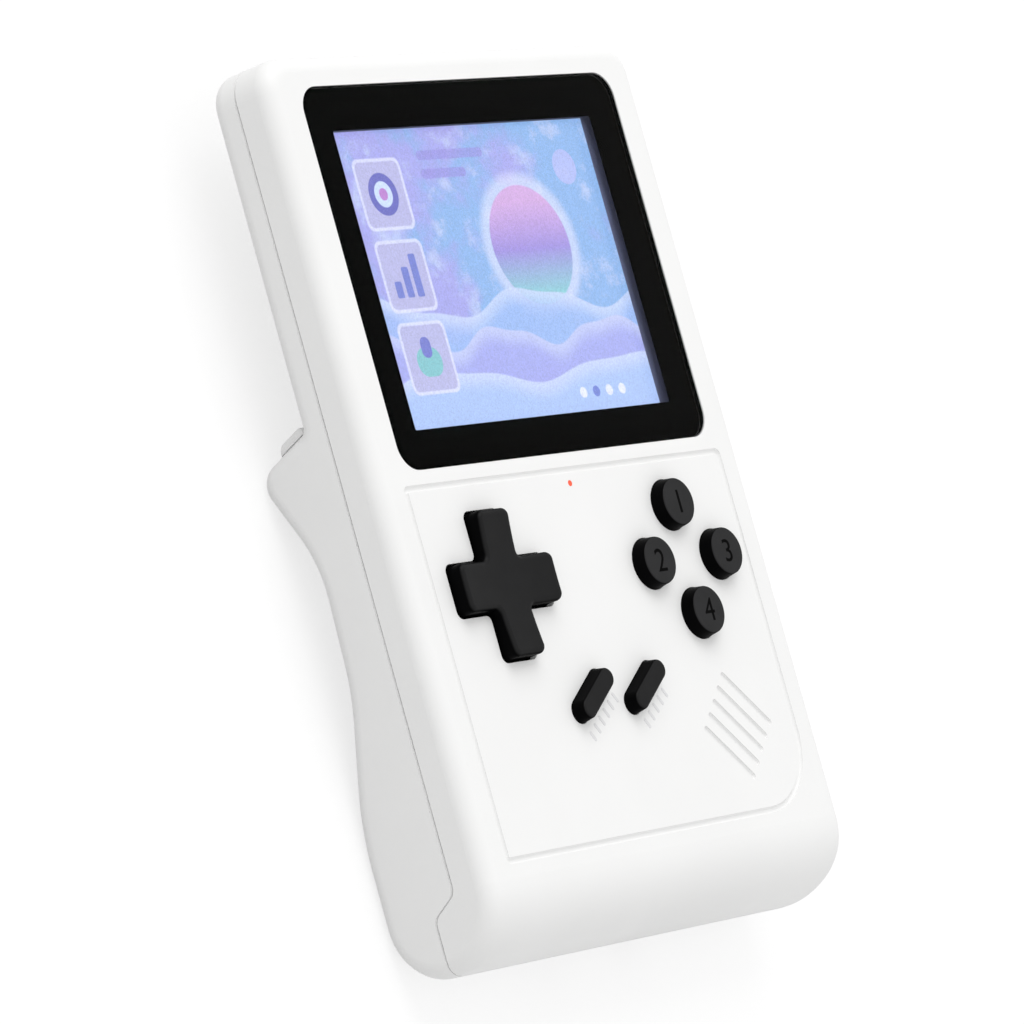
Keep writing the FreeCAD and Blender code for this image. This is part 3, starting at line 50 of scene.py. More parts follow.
MM = 0.001
METRE_TO_MM = (1000.0, 1000.0, 1000.0)

# Pitch of the boards' copper lines and of the ribbon's strips, in millimetres
TRACK_PITCH = 0.9
STRIP_PITCH = 0.5

# Width of the pale band at the cell's end, in millimetres
BAND_WIDTH = 7.0

# How deep printed ink and small ridges reach into what carries them
INK_SUNK = 0.05 * MM
RIDGE_SUNK_SHARE = 1.4

# Letters are made larger and then brought to their size
LETTER_DEPTH = 0.05
LETTER_WELD = 0.0005

# Rounding of a ridge, as shares of its width and thickness
RIDGE_END_SHARE = 0.49
RIDGE_RIM_SHARE = 0.3

FLOOR_RADIUS = 6.0
FLOOR_DROP = 0.05 * MM
SENSOR_WIDTH = 36.0

# The picture's layout, in millimetres from its middle
SUN = (9.5, 3.6)
SUN_RADIUS = 8.8
GLOW_RADIUS = 10.6
MOON = (22.0, 14.6)
MOON_RADIUS = 2.6
TILE_COLUMN = -20.0
TILE_ROWS = ((12.4, "ring"), (0.6, "bars"), (-11.2, "drop"))
TILE_HALF = 5.2
TILE_RIM = 0.5
BAR_REACHES = (1.2, 2.2, 3.1)
BAR_STEP = 2.2
DOTS = (12.0, -18.4)
DOT_STEP = 3.0
DOT_RADIUS = 0.8
LINES = (-10.6, 17.6)
LINE_STEP = 2.7
LINE_REACHES = (7.4, 5.0)

# The picture's colours
PALE = (0.80, 0.84, 1.0)
DEEP_BLUE = (0.16, 0.22, 0.66)
HILLS = (
    {"fill": (0.34, 0.50, 0.90), "level": -4.2, "swing": 1.7, "wave": 34.0, "shift": 0.6, "share": 0.85},
    {"fill": (0.40, 0.38, 0.84), "level": -9.2, "swing": 1.5, "wave": 25.0, "shift": 2.4, "share": 0.72},
    {"fill": (0.42, 0.60, 0.95), "level": -14.6, "swing": 1.3, "wave": 41.0, "shift": 4.2, "share": 0.8},
)


# Sizes and colours that a user would change

class ShellFinish(bpy.types.PropertyGroup):
    """White case plastic"""
    colour: FloatVectorProperty(name="Plastic colour", description="Colour of the white plastic",
                                subtype="COLOR", min=0, max=1, default=(0.90, 0.90, 0.895))
    shade: FloatVectorProperty(name="Flow shade", description="Darker tone where the plastic flowed",
                               subtype="COLOR", min=0, max=1, default=(0.875, 0.875, 0.87))
    grain: FloatProperty(name="Grain size", description="Size of the fine texture left by the mould",
                         unit="LENGTH", min=0.00002, default=0.00016)
    depth: FloatProperty(name="Grain depth", description="Height of the fine texture",
                         unit="LENGTH", min=0, default=0.000006)


class ControlFinish(bpy.types.PropertyGroup):
    """Black plastic of the controls, with painted light on its tops and painted shade on its flanks"""
    # Painted light: the top faces are coloured lighter, as if lit from above; only their fine texture is
    # real
    top: FloatVectorProperty(name="Touched faces", description="Colour of the finely textured top faces",
                             subtype="COLOR", min=0, max=1, default=(0.0124, 0.0124, 0.0129))
    # Painted shade: the flanks are coloured darker, as if in shade
    flank: FloatVectorProperty(name="Flanks", description="Colour of the smooth sides",
                               subtype="COLOR", min=0, max=1, default=(0.0022, 0.0022, 0.0024))
    # Scales the painted light on the round buttons' tops, so they come out brighter than the other controls
    button: FloatProperty(name="Round button share", description="Brightness of the round buttons' tops "
                          "against the other controls", min=0, max=3, default=1.9)
    shine: FloatProperty(name="Shine", description="Share of clear shine on the touched faces",
                         min=0, max=1, default=0.2)
    grain: FloatProperty(name="Grain size", description="Size of the texture on the touched faces",
                         unit="LENGTH", min=0.00002, default=0.00022)
    depth: FloatProperty(name="Grain depth", description="Height of the texture",
                         unit="LENGTH", min=0, default=0.000012)


class NumberSizes(bpy.types.PropertyGroup):
    """Numbers on the round buttons"""
    height: FloatProperty(name="Number height", description="Height of a number across the button",
                          unit="LENGTH", min=0.001, default=0.0033)
    relief: FloatProperty(name="Relief", description="How far the ink stands over the button",
                          unit="LENGTH", min=0, default=0.00002)
    order: StringProperty(name="Numbers", description="Numbers of the top, left, right and bottom button",
                          default="1234")
    ink: FloatVectorProperty(name="Ink", description="Colour of the printed numbers",
                             subtype="COLOR", min=0, max=1, default=(0.004, 0.004, 0.004))


class MarkSizes(bpy.types.PropertyGroup):
    """Rows of small ridges beside the two slanted buttons"""
    length: FloatProperty(name="Ridge length", description="Length of one ridge",
                          unit="LENGTH", min=0.0005, default=0.0017)
    width: FloatProperty(name="Ridge width", description="Width of one ridge",
                         unit="LENGTH", min=0.0001, default=0.0005)
    pitch: FloatProperty(name="Ridge pitch", description="Distance from one ridge to the next",
                         unit="LENGTH", min=0.0003, default=0.00172)
    relief: FloatProperty(name="Relief", description="How far a ridge stands over the face",
                          unit="LENGTH", min=0, default=0.00007)
    offset: FloatProperty(name="Distance to button", description="From the button's middle to the ridges",
                          unit="LENGTH", min=0, default=0.00385)
    turn: FloatProperty(name="Slant", description="Slant of the two buttons and their ridges",
                        subtype="ANGLE", default=math.radians(34.3))
    ink: FloatVectorProperty(name="Ridge colour", description="Pale grey of the ridges",
                             subtype="COLOR", min=0, max=1, default=(0.78, 0.78, 0.79))


class ScreenPicture(bpy.types.PropertyGroup):
    """The lit picture"""
    width: FloatProperty(name="Picture width", description="Width of the lit area",
                         unit="LENGTH", min=0.01, default=0.0576)
    height: FloatProperty(name="Picture height", description="Height of the lit area",
                          unit="LENGTH", min=0.01, default=0.0432)
    middle: FloatProperty(name="Picture middle", description="Middle of the lit area above the case centre",
                          unit="LENGTH", default=0.0312)
    light: FloatProperty(name="Backlight", description="Strength of the backlight", min=0, default=1.01)
    pixel: FloatProperty(name="Pixel pitch", description="Size of one picture point",
                         unit="LENGTH", min=0.00005, default=0.00018)


class StageSettings(bpy.types.PropertyGroup):
    """Floor, lamps and camera"""
    floor: FloatVectorProperty(name="Floor colour", description="Colour of the pale floor",
                               subtype="COLOR", min=0, max=1, default=(0.62, 0.62, 0.62))
    shadow: FloatProperty(name="Shadow share", description="How much of the floor's light and shadow "
                          "the camera sees", min=0, max=1, default=0.5)
    lift: FloatProperty(name="Floor lift", description="Added to the floor for the camera, up to white",
                        min=0, max=1, default=0.72)
    ambient: FloatProperty(name="Room light", description="Strength of the light from all around",
                           min=0, default=0.845)
    key: FloatProperty(name="Key lamp", description="Power of the large soft lamp above",
                       unit="POWER", min=0, default=56.0)
    key_place: FloatVectorProperty(name="Key lamp place", description="Where the large soft lamp hangs",
                                   subtype="TRANSLATION", unit="LENGTH", default=(-0.4, 2.9, 2.5))
    key_size: FloatProperty(name="Key lamp size", description="Side of the large soft lamp",
                            unit="LENGTH", min=0.1, default=2.8)
    lens: FloatProperty(name="Focal length", description="Focal length of the camera in millimetres",
                        unit="CAMERA", min=1, default=242.26)
    place: FloatVectorProperty(name="Camera place", description="Where the camera stands",
                               subtype="TRANSLATION", unit="LENGTH", default=(-0.75951, -0.10773, 0.59636))
    turn: FloatVectorProperty(name="Camera turn", description="How the camera is turned", subtype="EULER",
                              unit="ROTATION", default=(0.42780354, -0.83898911, -0.41059005))


# Node trees

def add(tree, kind, **settings):
    """A new node with its settings."""
    made = tree.nodes.new(kind)
    for name, value in settings.items():
        setattr(made, name, value)
    return made


def feed(tree, socket, value):
    """Links a socket to another node's output, or sets its own value."""
    if isinstance(value, bpy.types.NodeSocket):
        tree.links.new(value, socket)
    elif socket.type == "RGBA" and hasattr(value, "__len__") and len(value) == 3:
        socket.default_value = (*value, 1.0)
    else:
        socket.default_value = value


def calc(tree, operation, *values, clamp=False):
    """One sum of one to three numbers."""
    made = add(tree, "ShaderNodeMath", operation=operation, use_clamp=clamp)
    for socket, value in zip(made.inputs, values):
        feed(tree, socket, value)
    return made.outputs[0]


def span(tree, value, low, high, first=0.0, last=1.0, smooth=False):
    """Spreads a value from low..high over first..last."""
    made = add(tree, "ShaderNodeMapRange", interpolation_type="SMOOTHSTEP" if smooth else "LINEAR")
    for socket, number in zip(made.inputs, (value, low, high, first, last)):
        feed(tree, socket, number)
    return made.outputs[0]


def blend(tree, factor, first, last, kind="MIX"):
    """Mixes two colours."""
    made = add(tree, "ShaderNodeMix", data_type="RGBA", blend_type=kind)
    feed(tree, made.inputs[0], factor)
    feed(tree, made.inputs[6], first)
    feed(tree, made.inputs[7], last)
    return made.outputs[2]


def object_point(tree, scale=(1.0, 1.0, 1.0), location=(0.0, 0.0, 0.0), turn=(0.0, 0.0, 0.0)):
    """The place on the piece, scaled, turned and moved."""
    place = add(tree, "ShaderNodeTexCoord")
    mapping = add(tree, "ShaderNodeMapping")
    tree.links.new(place.outputs["Object"], mapping.inputs["Vector"])
    mapping.inputs["Location"].default_value = location
    mapping.inputs["Rotation"].default_value = turn
    mapping.inputs["Scale"].default_value = scale
    return mapping.outputs[0]


def noise(tree, point, scale, detail=2.0, roughness=0.5):
    """Soft random values from 0 to 1."""
    made = add(tree, "ShaderNodeTexNoise", noise_dimensions="3D")
    feed(tree, made.inputs["Vector"], point)
    feed(tree, made.inputs["Scale"], scale)
    feed(tree, made.inputs["Detail"], detail)
    feed(tree, made.inputs["Roughness"], roughness)
    return made.outputs["Fac"]


def shared_group(name, inputs, outputs):
    """An empty shader group with named sockets."""
    tree = bpy.data.node_groups.new(name, "ShaderNodeTree")
    for label, kind, default in inputs:
        socket = tree.interface.new_socket(label, in_out="INPUT", socket_type=kind)
        socket.default_value = default
    for label, kind in outputs:
        tree.interface.new_socket(label, in_out="OUTPUT", socket_type=kind)
    return tree, add(tree, "NodeGroupInput").outputs, add(tree, "NodeGroupOutput").inputs


def use(tree, name, **values):
    """Places a shared group in a material and sets its inputs."""
    made = add(tree, "ShaderNodeGroup", node_tree=bpy.data.node_groups[name])
    for label, value in values.items():
        feed(tree, made.inputs[label.replace("_", " ")], value)
    return made.outputs


NUMBER = "NodeSocketFloat"
COLOUR = "NodeSocketColor"
POINT = "NodeSocketVector"


def build_moulding():
    """Grain of a mould and the soft cloud where the plastic flowed."""
    tree, given, out = shared_group(
        "moulding",
        [("colour", COLOUR, (0.8, 0.8, 0.8, 1)), ("shade", COLOUR, (0.7, 0.7, 0.7, 1)),
         ("grain", NUMBER, 0.0002), ("patch", NUMBER, 0.012)],
        [("colour", COLOUR), ("height", NUMBER), ("tone", NUMBER)])
    point = object_point(tree)
    fine = noise(tree, point, calc(tree, "DIVIDE", 1.0, given["grain"]), 2.0, 0.6)
    coarse = noise(tree, point, calc(tree, "DIVIDE", 1.0, given["patch"]), 3.0)
    tone = span(tree, coarse, 0.3, 0.7, smooth=True)
    speck = span(tree, fine, 0.35, 0.65, 0.0, 0.35)
    feed(tree, out["colour"], blend(tree, calc(tree, "MULTIPLY_ADD", tone, 0.65, speck, clamp=True),
                                    given["colour"], given["shade"]))
    feed(tree, out["height"], fine)
    feed(tree, out["tone"], tone)


def build_painted_top_light_and_flank_shade():
    """Painted light and shade: a lighter colour on faces that look up, a darker one on upright ones."""
    tree, given, out = shared_group(
        "top and flank",
        [("top", COLOUR, (0.03, 0.03, 0.03, 1)), ("flank", COLOUR, (0.01, 0.01, 0.01, 1))],
        [("colour", COLOUR), ("top mask", NUMBER)])
    normal = add(tree, "ShaderNodeSeparateXYZ")
    tree.links.new(add(tree, "ShaderNodeTexCoord").outputs["Normal"], normal.inputs[0])
    mask = span(tree, normal.outputs["Z"], 0.45, 0.9, smooth=True)
    feed(tree, out["colour"], blend(tree, mask, given["flank"], given["top"]))
    feed(tree, out["top mask"], mask)


def build_brushing():
    """Fine parallel lines of rolled or brushed metal, with a few stains."""
    tree, given, out = shared_group(
        "brushing",
        [("colour", COLOUR, (0.6, 0.6, 0.6, 1)), ("stain", COLOUR, (0.4, 0.4, 0.4, 1)),
         ("line", NUMBER, 0.00008)],
        [("colour", COLOUR), ("height", NUMBER), ("tone", NUMBER)])
    across = calc(tree, "DIVIDE", 1.0, given["line"])
    stretched = object_point(tree, scale=(0.03, 1.0, 1.0))
    lines = noise(tree, stretched, across, 2.0, 0.6)
    stains = span(tree, noise(tree, object_point(tree), 260.0, 4.0), 0.45, 0.75, smooth=True)
    feed(tree, out["colour"], blend(tree, stains, given["colour"], given["stain"]))
    feed(tree, out["height"], lines)
    feed(tree, out["tone"], stains)


def build_scuffs():
    """Hair lines and finger smudges that change how a surface shines."""
    tree, given, out = shared_group(
        "scuffs",
        [("smooth", NUMBER, 0.1), ("dull", NUMBER, 0.2), ("size", NUMBER, 0.004)],
        [("roughness", NUMBER)])
    per_metre = calc(tree, "DIVIDE", 1.0, given["size"])
    smudge = span(tree, noise(tree, object_point(tree), per_metre, 5.0, 0.6), 0.42, 0.7, smooth=True)
    lines = noise(tree, object_point(tree, scale=(0.06, 1.6, 1.0), turn=(0.0, 0.0, 0.6)), 9000.0, 1.0)
    lines = span(tree, lines, 0.66, 0.74)
    both = calc(tree, "MULTIPLY_ADD", lines, 0.5, smudge, clamp=True)
    feed(tree, out["roughness"], span(tree, both, 0.0, 1.0, given["smooth"], given["dull"]))


def build_rounded_panel():
    """A box with round corners in the picture: 1 inside, 0 outside."""
    tree, given, out = shared_group(
        "rounded panel",
        [("point", POINT, (0, 0, 0)), ("x", NUMBER, 0.0), ("y", NUMBER, 0.0), ("half width", NUMBER, 4.0),
         ("half height", NUMBER, 4.0), ("corner", NUMBER, 1.0), ("soft", NUMBER, 0.15)],
        [("mask", NUMBER)])
    place = add(tree, "ShaderNodeSeparateXYZ")
    tree.links.new(given["point"], place.inputs[0])
    beyond = []
    for axis, centre, half in (("X", "x", "half width"), ("Y", "y", "half height")):
        away = calc(tree, "ABSOLUTE", calc(tree, "SUBTRACT", place.outputs[axis], given[centre]))
        beyond.append(calc(tree, "SUBTRACT", away, calc(tree, "SUBTRACT", given[half], given["corner"])))
    outer = [calc(tree, "MAXIMUM", side, 0.0) for side in beyond]
    squares = calc(tree, "MULTIPLY_ADD", outer[0], outer[0], calc(tree, "MULTIPLY", outer[1], outer[1]))
    inner = calc(tree, "MINIMUM", calc(tree, "MAXIMUM", beyond[0], beyond[1]), 0.0)
    reach = calc(tree, "ADD", calc(tree, "SQRT", squares), inner)
    distance = calc(tree, "SUBTRACT", reach, given["corner"])
    edge = calc(tree, "DIVIDE", distance, given["soft"])
    feed(tree, out["mask"], span(tree, edge, 0.5, -0.5, smooth=True))


def build_rolling_hill():
    """A wavy horizon in the picture: 1 under it, 0 over it, and the depth below it."""
    tree, given, out = shared_group(
        "rolling hill",
        [("point", POINT, (0, 0, 0)), ("level", NUMBER, 0.0), ("swing", NUMBER, 2.0), ("wave", NUMBER, 30.0),
         ("shift", NUMBER, 0.0), ("soft", NUMBER, 0.3)],
        [("mask", NUMBER), ("depth", NUMBER)])
    place = add(tree, "ShaderNodeSeparateXYZ")
    tree.links.new(given["point"], place.inputs[0])
    turns = calc(tree, "MULTIPLY_ADD", calc(tree, "DIVIDE", place.outputs["X"], given["wave"]), math.tau,
                 given["shift"])
    first = calc(tree, "SINE", turns)
    second = calc(tree, "MULTIPLY", calc(tree, "SINE", calc(tree, "MULTIPLY", turns, 2.3)), 0.3)
    line = calc(tree, "MULTIPLY_ADD", calc(tree, "ADD", first, second), given["swing"], given["level"])
    depth = calc(tree, "SUBTRACT", line, place.outputs["Y"])
    feed(tree, out["mask"], span(tree, calc(tree, "DIVIDE", depth, given["soft"]), -0.5, 0.5, smooth=True))
    feed(tree, out["depth"], depth)


def seen_rays(tree):
    """1 for what the camera sees, also in gloss and through glass."""
    path = add(tree, "ShaderNodeLightPath")
    gloss = calc(tree, "MAXIMUM", path.outputs["Is Glossy Ray"], path.outputs["Is Transmission Ray"])
    return calc(tree, "MAXIMUM", path.outputs["Is Camera Ray"], gloss)


# Materials

def finish(name, plain):
    """A material with plain values on its shader: gives the material, its tree and its shader."""
    material = bpy.data.materials.new(name)
    material.use_nodes = True
    tree = material.node_tree
    shader = tree.nodes["Principled BSDF"]
    for label, value in plain.items():
        feed(tree, shader.inputs[label], value)
    return material, tree, shader


def raise_grain(tree, shader, height, depth):
    """Turns a height pattern into the shader's bumps."""
    bump = add(tree, "ShaderNodeBump")
    bump.inputs["Strength"].default_value = 1.0
    bump.inputs["Distance"].default_value = depth
    tree.links.new(height, bump.inputs["Height"])
    tree.links.new(bump.outputs["Normal"], shader.inputs["Normal"])


def moulded(name, colour, shade, rough, grain, depth, patch=0.012, specular=0.4):
    """Moulded plastic, rubber or film with its grain."""
    material, tree, shader = finish(name, {"Specular IOR Level": specular})
    made = use(tree, "moulding", colour=colour, shade=shade, grain=grain, patch=patch)
    tree.links.new(made["colour"], shader.inputs["Base Color"])
    feed(tree, shader.inputs["Roughness"], span(tree, made["tone"], 0.0, 1.0, rough[0], rough[1]))
    raise_grain(tree, shader, made["height"], depth)
    return material


def black_plastic(name, finishes, share):
    """Black plastic: fine texture on the touched faces, smooth flanks, and painted light: the tops coloured
    lighter than the flanks.
    """
    material, tree, shader = finish(name, {
        "Specular IOR Level": 0.01, "Coat Roughness": 0.36, "Coat IOR": 1.5})
    # Painted light: the tops take the lighter colour, scaled by share, and the upright flanks take the
    # darker, painted-shade colour
    top = tuple(channel * share for channel in finishes.top)
    side = use(tree, "top and flank", top=top, flank=finishes.flank)
    made = use(tree, "moulding", colour=(1, 1, 1), shade=(0.8, 0.8, 0.8), grain=finishes.grain, patch=0.003)
    feed(tree, shader.inputs["Base Color"], blend(tree, 1.0, side["colour"], made["colour"], "MULTIPLY"))
    feed(tree, shader.inputs["Roughness"], span(tree, side["top mask"], 0.0, 1.0, 0.38, 0.6))
    feed(tree, shader.inputs["Coat Weight"], calc(tree, "MULTIPLY", side["top mask"], finishes.shine))
    height = calc(tree, "MULTIPLY", made["height"], span(tree, side["top mask"], 0.0, 1.0, 0.25, 1.0))
    raise_grain(tree, shader, height, finishes.depth)
    return material


def metal(name, colour, stain, rough, line, depth=0.000003):
    """Bare or plated metal with fine lines."""
    material, tree, shader = finish(name, {"Metallic": 1.0})
    made = use(tree, "brushing", colour=colour, stain=stain, line=line)
    tree.links.new(made["colour"], shader.inputs["Base Color"])
    feed(tree, shader.inputs["Roughness"], span(tree, made["tone"], 0.0, 1.0, rough[0], rough[1]))
    raise_grain(tree, shader, made["height"], depth)
    return material


def clear_lens():
    """Clear hard sheet with a few smudges and inked edges."""
    material, tree, shader = finish("clear_lens", {
        "Transmission Weight": 1.0, "Metallic": 0.0, "IOR": 1.13, "Specular Tint": (0.03, 0.03, 0.03)})
    facing = add(tree, "ShaderNodeSeparateXYZ")
    tree.links.new(add(tree, "ShaderNodeTexCoord").outputs["Normal"], facing.inputs[0])
    flat = span(tree, calc(tree, "ABSOLUTE", facing.outputs["Z"]), 0.3, 0.8)
    feed(tree, shader.inputs["Base Color"], blend(tree, flat, (0.0, 0.0, 0.0), (1.0, 1.0, 1.0)))
    made = use(tree, "scuffs", smooth=0.0, dull=0.012, size=0.009)
    tree.links.new(made["roughness"], shader.inputs["Roughness"])
    return material


def painted_border():
    """Black paint printed behind the lens."""
    material, tree, shader = finish("lens_border_black", {"Specular IOR Level": 0.0})
    made = use(tree, "moulding", colour=(0.0022, 0.0022, 0.0024), shade=(0.0027, 0.0027, 0.0030),
               grain=0.0003, patch=0.02)
    tree.links.new(made["colour"], shader.inputs["Base Color"])
    feed(tree, shader.inputs["Roughness"], span(tree, made["tone"], 0.0, 1.0, 0.5, 0.62))
    raise_grain(tree, shader, made["height"], 0.000001)
    return material


def sky_colours(tree, point):
    """Pale drifting clouds behind the picture's shapes."""
    place = add(tree, "ShaderNodeSeparateXYZ")
    tree.links.new(point, place.inputs[0])
    wide = noise(tree, point, 0.075, 4.0, 0.6)
    fine = noise(tree, point, 0.22, 5.0, 0.62)
    drift = calc(tree, "ADD", wide, calc(tree, "MULTIPLY", place.outputs["X"], -0.004))
    sky = blend(tree, span(tree, drift, 0.40, 0.62, smooth=True), (0.26, 0.46, 0.82), (0.38, 0.38, 0.82))
    return blend(tree, span(tree, fine, 0.50, 0.72, 0.0, 0.75, smooth=True), sky, (0.56, 0.64, 0.92))


def picture_colours(tree, point):
    """The whole picture: sky, low sun, hills, three tiles with shapes, and a row of dots."""
    place = add(tree, "ShaderNodeSeparateXYZ")
    tree.links.new(point, place.inputs[0])
    colour = sky_colours(tree, point)

    def panel(fill, x, y, half_width, half_height, corner, soft=0.2, share=1.0):
        """Lays a box with round corners over the picture."""
        mask = use(tree, "rounded panel", point=point, x=x, y=y, half_width=half_width,
                   half_height=half_height, corner=corner, soft=soft)["mask"]
        return blend(tree, calc(tree, "MULTIPLY", mask, share), colour, fill)

    def disc(fill, centre, radius, soft=0.2, share=1.0):
        """Lays a disc over the picture."""
        return panel(fill, *centre, radius, radius, radius, soft, share)

    def hill(fill, level, swing, wave, shift, share):
        """Lays a hill with a pale crest over the picture."""
        made = use(tree, "rolling hill", point=point, level=level, swing=swing, wave=wave, shift=shift,
                   soft=0.35)
        lit = blend(tree, span(tree, made["depth"], 0.0, 3.2, 0.55, 0.0, smooth=True), fill, PALE)
        return blend(tree, calc(tree, "MULTIPLY", made["mask"], share), colour, lit)

    height = span(tree, place.outputs["Y"], -7.0, 13.0)
    sun = blend(tree, span(tree, height, 0.15, 0.5), (0.20, 0.62, 0.62), (0.30, 0.20, 0.68))
    sun = blend(tree, span(tree, height, 0.5, 0.85), sun, (0.68, 0.36, 0.72))
    colour = disc((0.78, 0.80, 1.0), SUN, GLOW_RADIUS, soft=2.0, share=0.55)
    colour = disc(sun, SUN, SUN_RADIUS, soft=0.3, share=0.85)
    colour = disc((0.50, 0.52, 0.93), MOON, MOON_RADIUS, soft=0.3, share=0.75)
    for shape in HILLS:
        colour = hill(**shape)
    for y, shape in TILE_ROWS:
        colour = panel((0.74, 0.76, 0.98), TILE_COLUMN, y, TILE_HALF, TILE_HALF, corner=1.3, soft=0.3,
                       share=0.85)
        inner = TILE_HALF - TILE_RIM
        colour = panel((0.36, 0.34, 0.66), TILE_COLUMN, y, inner, inner, corner=1.0, soft=0.25, share=0.62)
        if shape == "ring":
            colour = disc((0.12, 0.12, 0.50), (TILE_COLUMN, y), 3.1)
            colour = disc((0.62, 0.74, 0.98), (TILE_COLUMN, y), 1.9)
            colour = disc((0.50, 0.20, 0.62), (TILE_COLUMN, y), 0.9)
        elif shape == "bars":
            foot = y - BAR_REACHES[-1]
            for step, reach in enumerate(BAR_REACHES):
                x = TILE_COLUMN + BAR_STEP * (step - 1)
                colour = panel((0.16, 0.20, 0.62), x, foot + reach, 0.75, reach, corner=0.3)
        else:
            colour = panel((0.22, 0.56, 0.60), TILE_COLUMN, y - 0.6, 2.7, 2.1, corner=2.0)
            colour = panel((0.16, 0.18, 0.60), TILE_COLUMN, y + 1.5, 1.1, 1.5, corner=1.0)
    for step in range(4):
        fill = DEEP_BLUE if step == 1 else PALE
        colour = disc(fill, (DOTS[0] + DOT_STEP * step, DOTS[1]), DOT_RADIUS)
    for step, reach in enumerate(LINE_REACHES):
        x, y = LINES[0] + reach, LINES[1] - LINE_STEP * step
        colour = panel((0.30, 0.26, 0.72), x, y, reach, 0.7, corner=0.7, soft=0.25, share=0.7)
    return colour


def lit_screen(picture):
    """Liquid crystal glass: a dark edge round the lit picture."""
    material, tree, shader = finish("lcd_glass_lit", {"Roughness": 0.22, "Specular IOR Level": 0.25,
                                                      "Emission Strength": picture.light})
    point = object_point(tree, scale=METRE_TO_MM, location=(0.0, -picture.middle / MM, 0.0))
    lit = use(tree, "rounded panel", point=point, half_width=picture.width / MM / 2,
              half_height=picture.height / MM / 2, corner=0.05, soft=0.06)["mask"]
    up = add(tree, "ShaderNodeSeparateXYZ")
    tree.links.new(add(tree, "ShaderNodeTexCoord").outputs["Normal"], up.inputs[0])
    lit = calc(tree, "MULTIPLY", lit, span(tree, up.outputs["Z"], 0.5, 0.9))
    pitch = picture.pixel / MM
    cell = add(tree, "ShaderNodeVectorMath", operation="SNAP")
    tree.links.new(point, cell.inputs[0])
    cell.inputs[1].default_value = (pitch, pitch, 100.0)
    spark = add(tree, "ShaderNodeTexWhiteNoise", noise_dimensions="3D")
    tree.links.new(cell.outputs[0], spark.inputs["Vector"])
    glint = noise(tree, point, 2.4, 2.0)
    level = calc(tree, "ADD", span(tree, spark.outputs["Value"], 0.0, 1.0, 0.86, 1.04),
                 span(tree, glint, 0.3, 0.7, -0.03, 0.04))
    colour = blend(tree, 1.0, picture_colours(tree, point), level, "MULTIPLY")
    feed(tree, shader.inputs["Emission Color"], blend(tree, lit, (0.0, 0.0, 0.0), colour))
    dark = use(tree, "moulding", colour=(0.16, 0.175, 0.30), shade=(0.18, 0.195, 0.33), grain=0.0002,
               patch=0.01)
    feed(tree, shader.inputs["Base Color"], blend(tree, lit, dark["colour"], (0.05, 0.06, 0.09)))
    return material


def lamp_guide():
    """Orange red light guide, brightest in its middle."""
    material, tree, shader = finish("light_red", {"Roughness": 0.3, "Emission Strength": 1.0})
    low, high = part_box("light_pipe")
    middle = (low + high) / 2
    point = object_point(tree, location=(-middle.x, -middle.y, 0.0))
    flat = add(tree, "ShaderNodeVectorMath", operation="MULTIPLY")
    tree.links.new(point, flat.inputs[0])
    flat.inputs[1].default_value = (1.0, 1.0, 0.0)
    away = add(tree, "ShaderNodeVectorMath", operation="LENGTH")
    tree.links.new(flat.outputs[0], away.inputs[0])
    reach = span(tree, away.outputs["Value"], 0.0, (high.x - low.x) / 2, smooth=True)
    feed(tree, shader.inputs["Emission Color"], blend(tree, reach, (0.46, 0.055, 0.02), (0.34, 0.02, 0.004)))
    made = use(tree, "moulding", colour=(0.62, 0.06, 0.015), shade=(0.5, 0.04, 0.01), grain=0.0002,
               patch=0.002)
    tree.links.new(made["colour"], shader.inputs["Base Color"])
    raise_grain(tree, shader, made["height"], 0.000004)
    return material


def board():
    """Green lacquered board with copper lines under the lacquer."""
    material, tree, shader = finish("circuit_board", {"Specular IOR Level": 0.5})
    point = object_point(tree, scale=METRE_TO_MM)
    place = add(tree, "ShaderNodeSeparateXYZ")
    tree.links.new(point, place.inputs[0])
    lines = []
    for axis, gate in (("X", 3.1), ("Y", 7.7)):
        wave = calc(tree, "SINE", calc(tree, "MULTIPLY", place.outputs[axis], math.tau / TRACK_PITCH))
        shifted = add(tree, "ShaderNodeVectorMath", operation="ADD")
        tree.links.new(point, shifted.inputs[0])
        shifted.inputs[1].default_value = (gate, gate, 0.0)
        region = span(tree, noise(tree, shifted.outputs[0], 0.16, 0.0), 0.50, 0.53)
        lines.append(calc(tree, "MULTIPLY", span(tree, wave, 0.45, 0.6), region))
    copper = calc(tree, "MAXIMUM", lines[0], lines[1])
    base = use(tree, "moulding", colour=(0.012, 0.13, 0.05), shade=(0.016, 0.10, 0.045), grain=0.0003,
               patch=0.008)
    feed(tree, shader.inputs["Base Color"], blend(tree, copper, base["colour"], (0.03, 0.24, 0.10)))
    feed(tree, shader.inputs["Roughness"], span(tree, base["tone"], 0.0, 1.0, 0.22, 0.34))
    raise_grain(tree, shader, calc(tree, "MULTIPLY_ADD", base["height"], 0.15, copper), 0.00003)
    return material


def ribbon_film():
    """Amber film with copper strips along it."""
    material, tree, shader = finish("ribbon_film", {"Specular IOR Level": 0.5})
    place = add(tree, "ShaderNodeSeparateXYZ")
    tree.links.new(object_point(tree, scale=METRE_TO_MM), place.inputs[0])
    wave = calc(tree, "SINE", calc(tree, "MULTIPLY", place.outputs["X"], math.tau / STRIP_PITCH))
    strip = span(tree, wave, -0.1, 0.2)
    base = use(tree, "moulding", colour=(0.42, 0.20, 0.035), shade=(0.34, 0.15, 0.025), grain=0.0004,
               patch=0.006)
    feed(tree, shader.inputs["Base Color"], blend(tree, strip, base["colour"], (0.66, 0.36, 0.12)))
    feed(tree, shader.inputs["Roughness"], span(tree, base["tone"], 0.0, 1.0, 0.28, 0.4))
    raise_grain(tree, shader, strip, 0.00001)
    return material


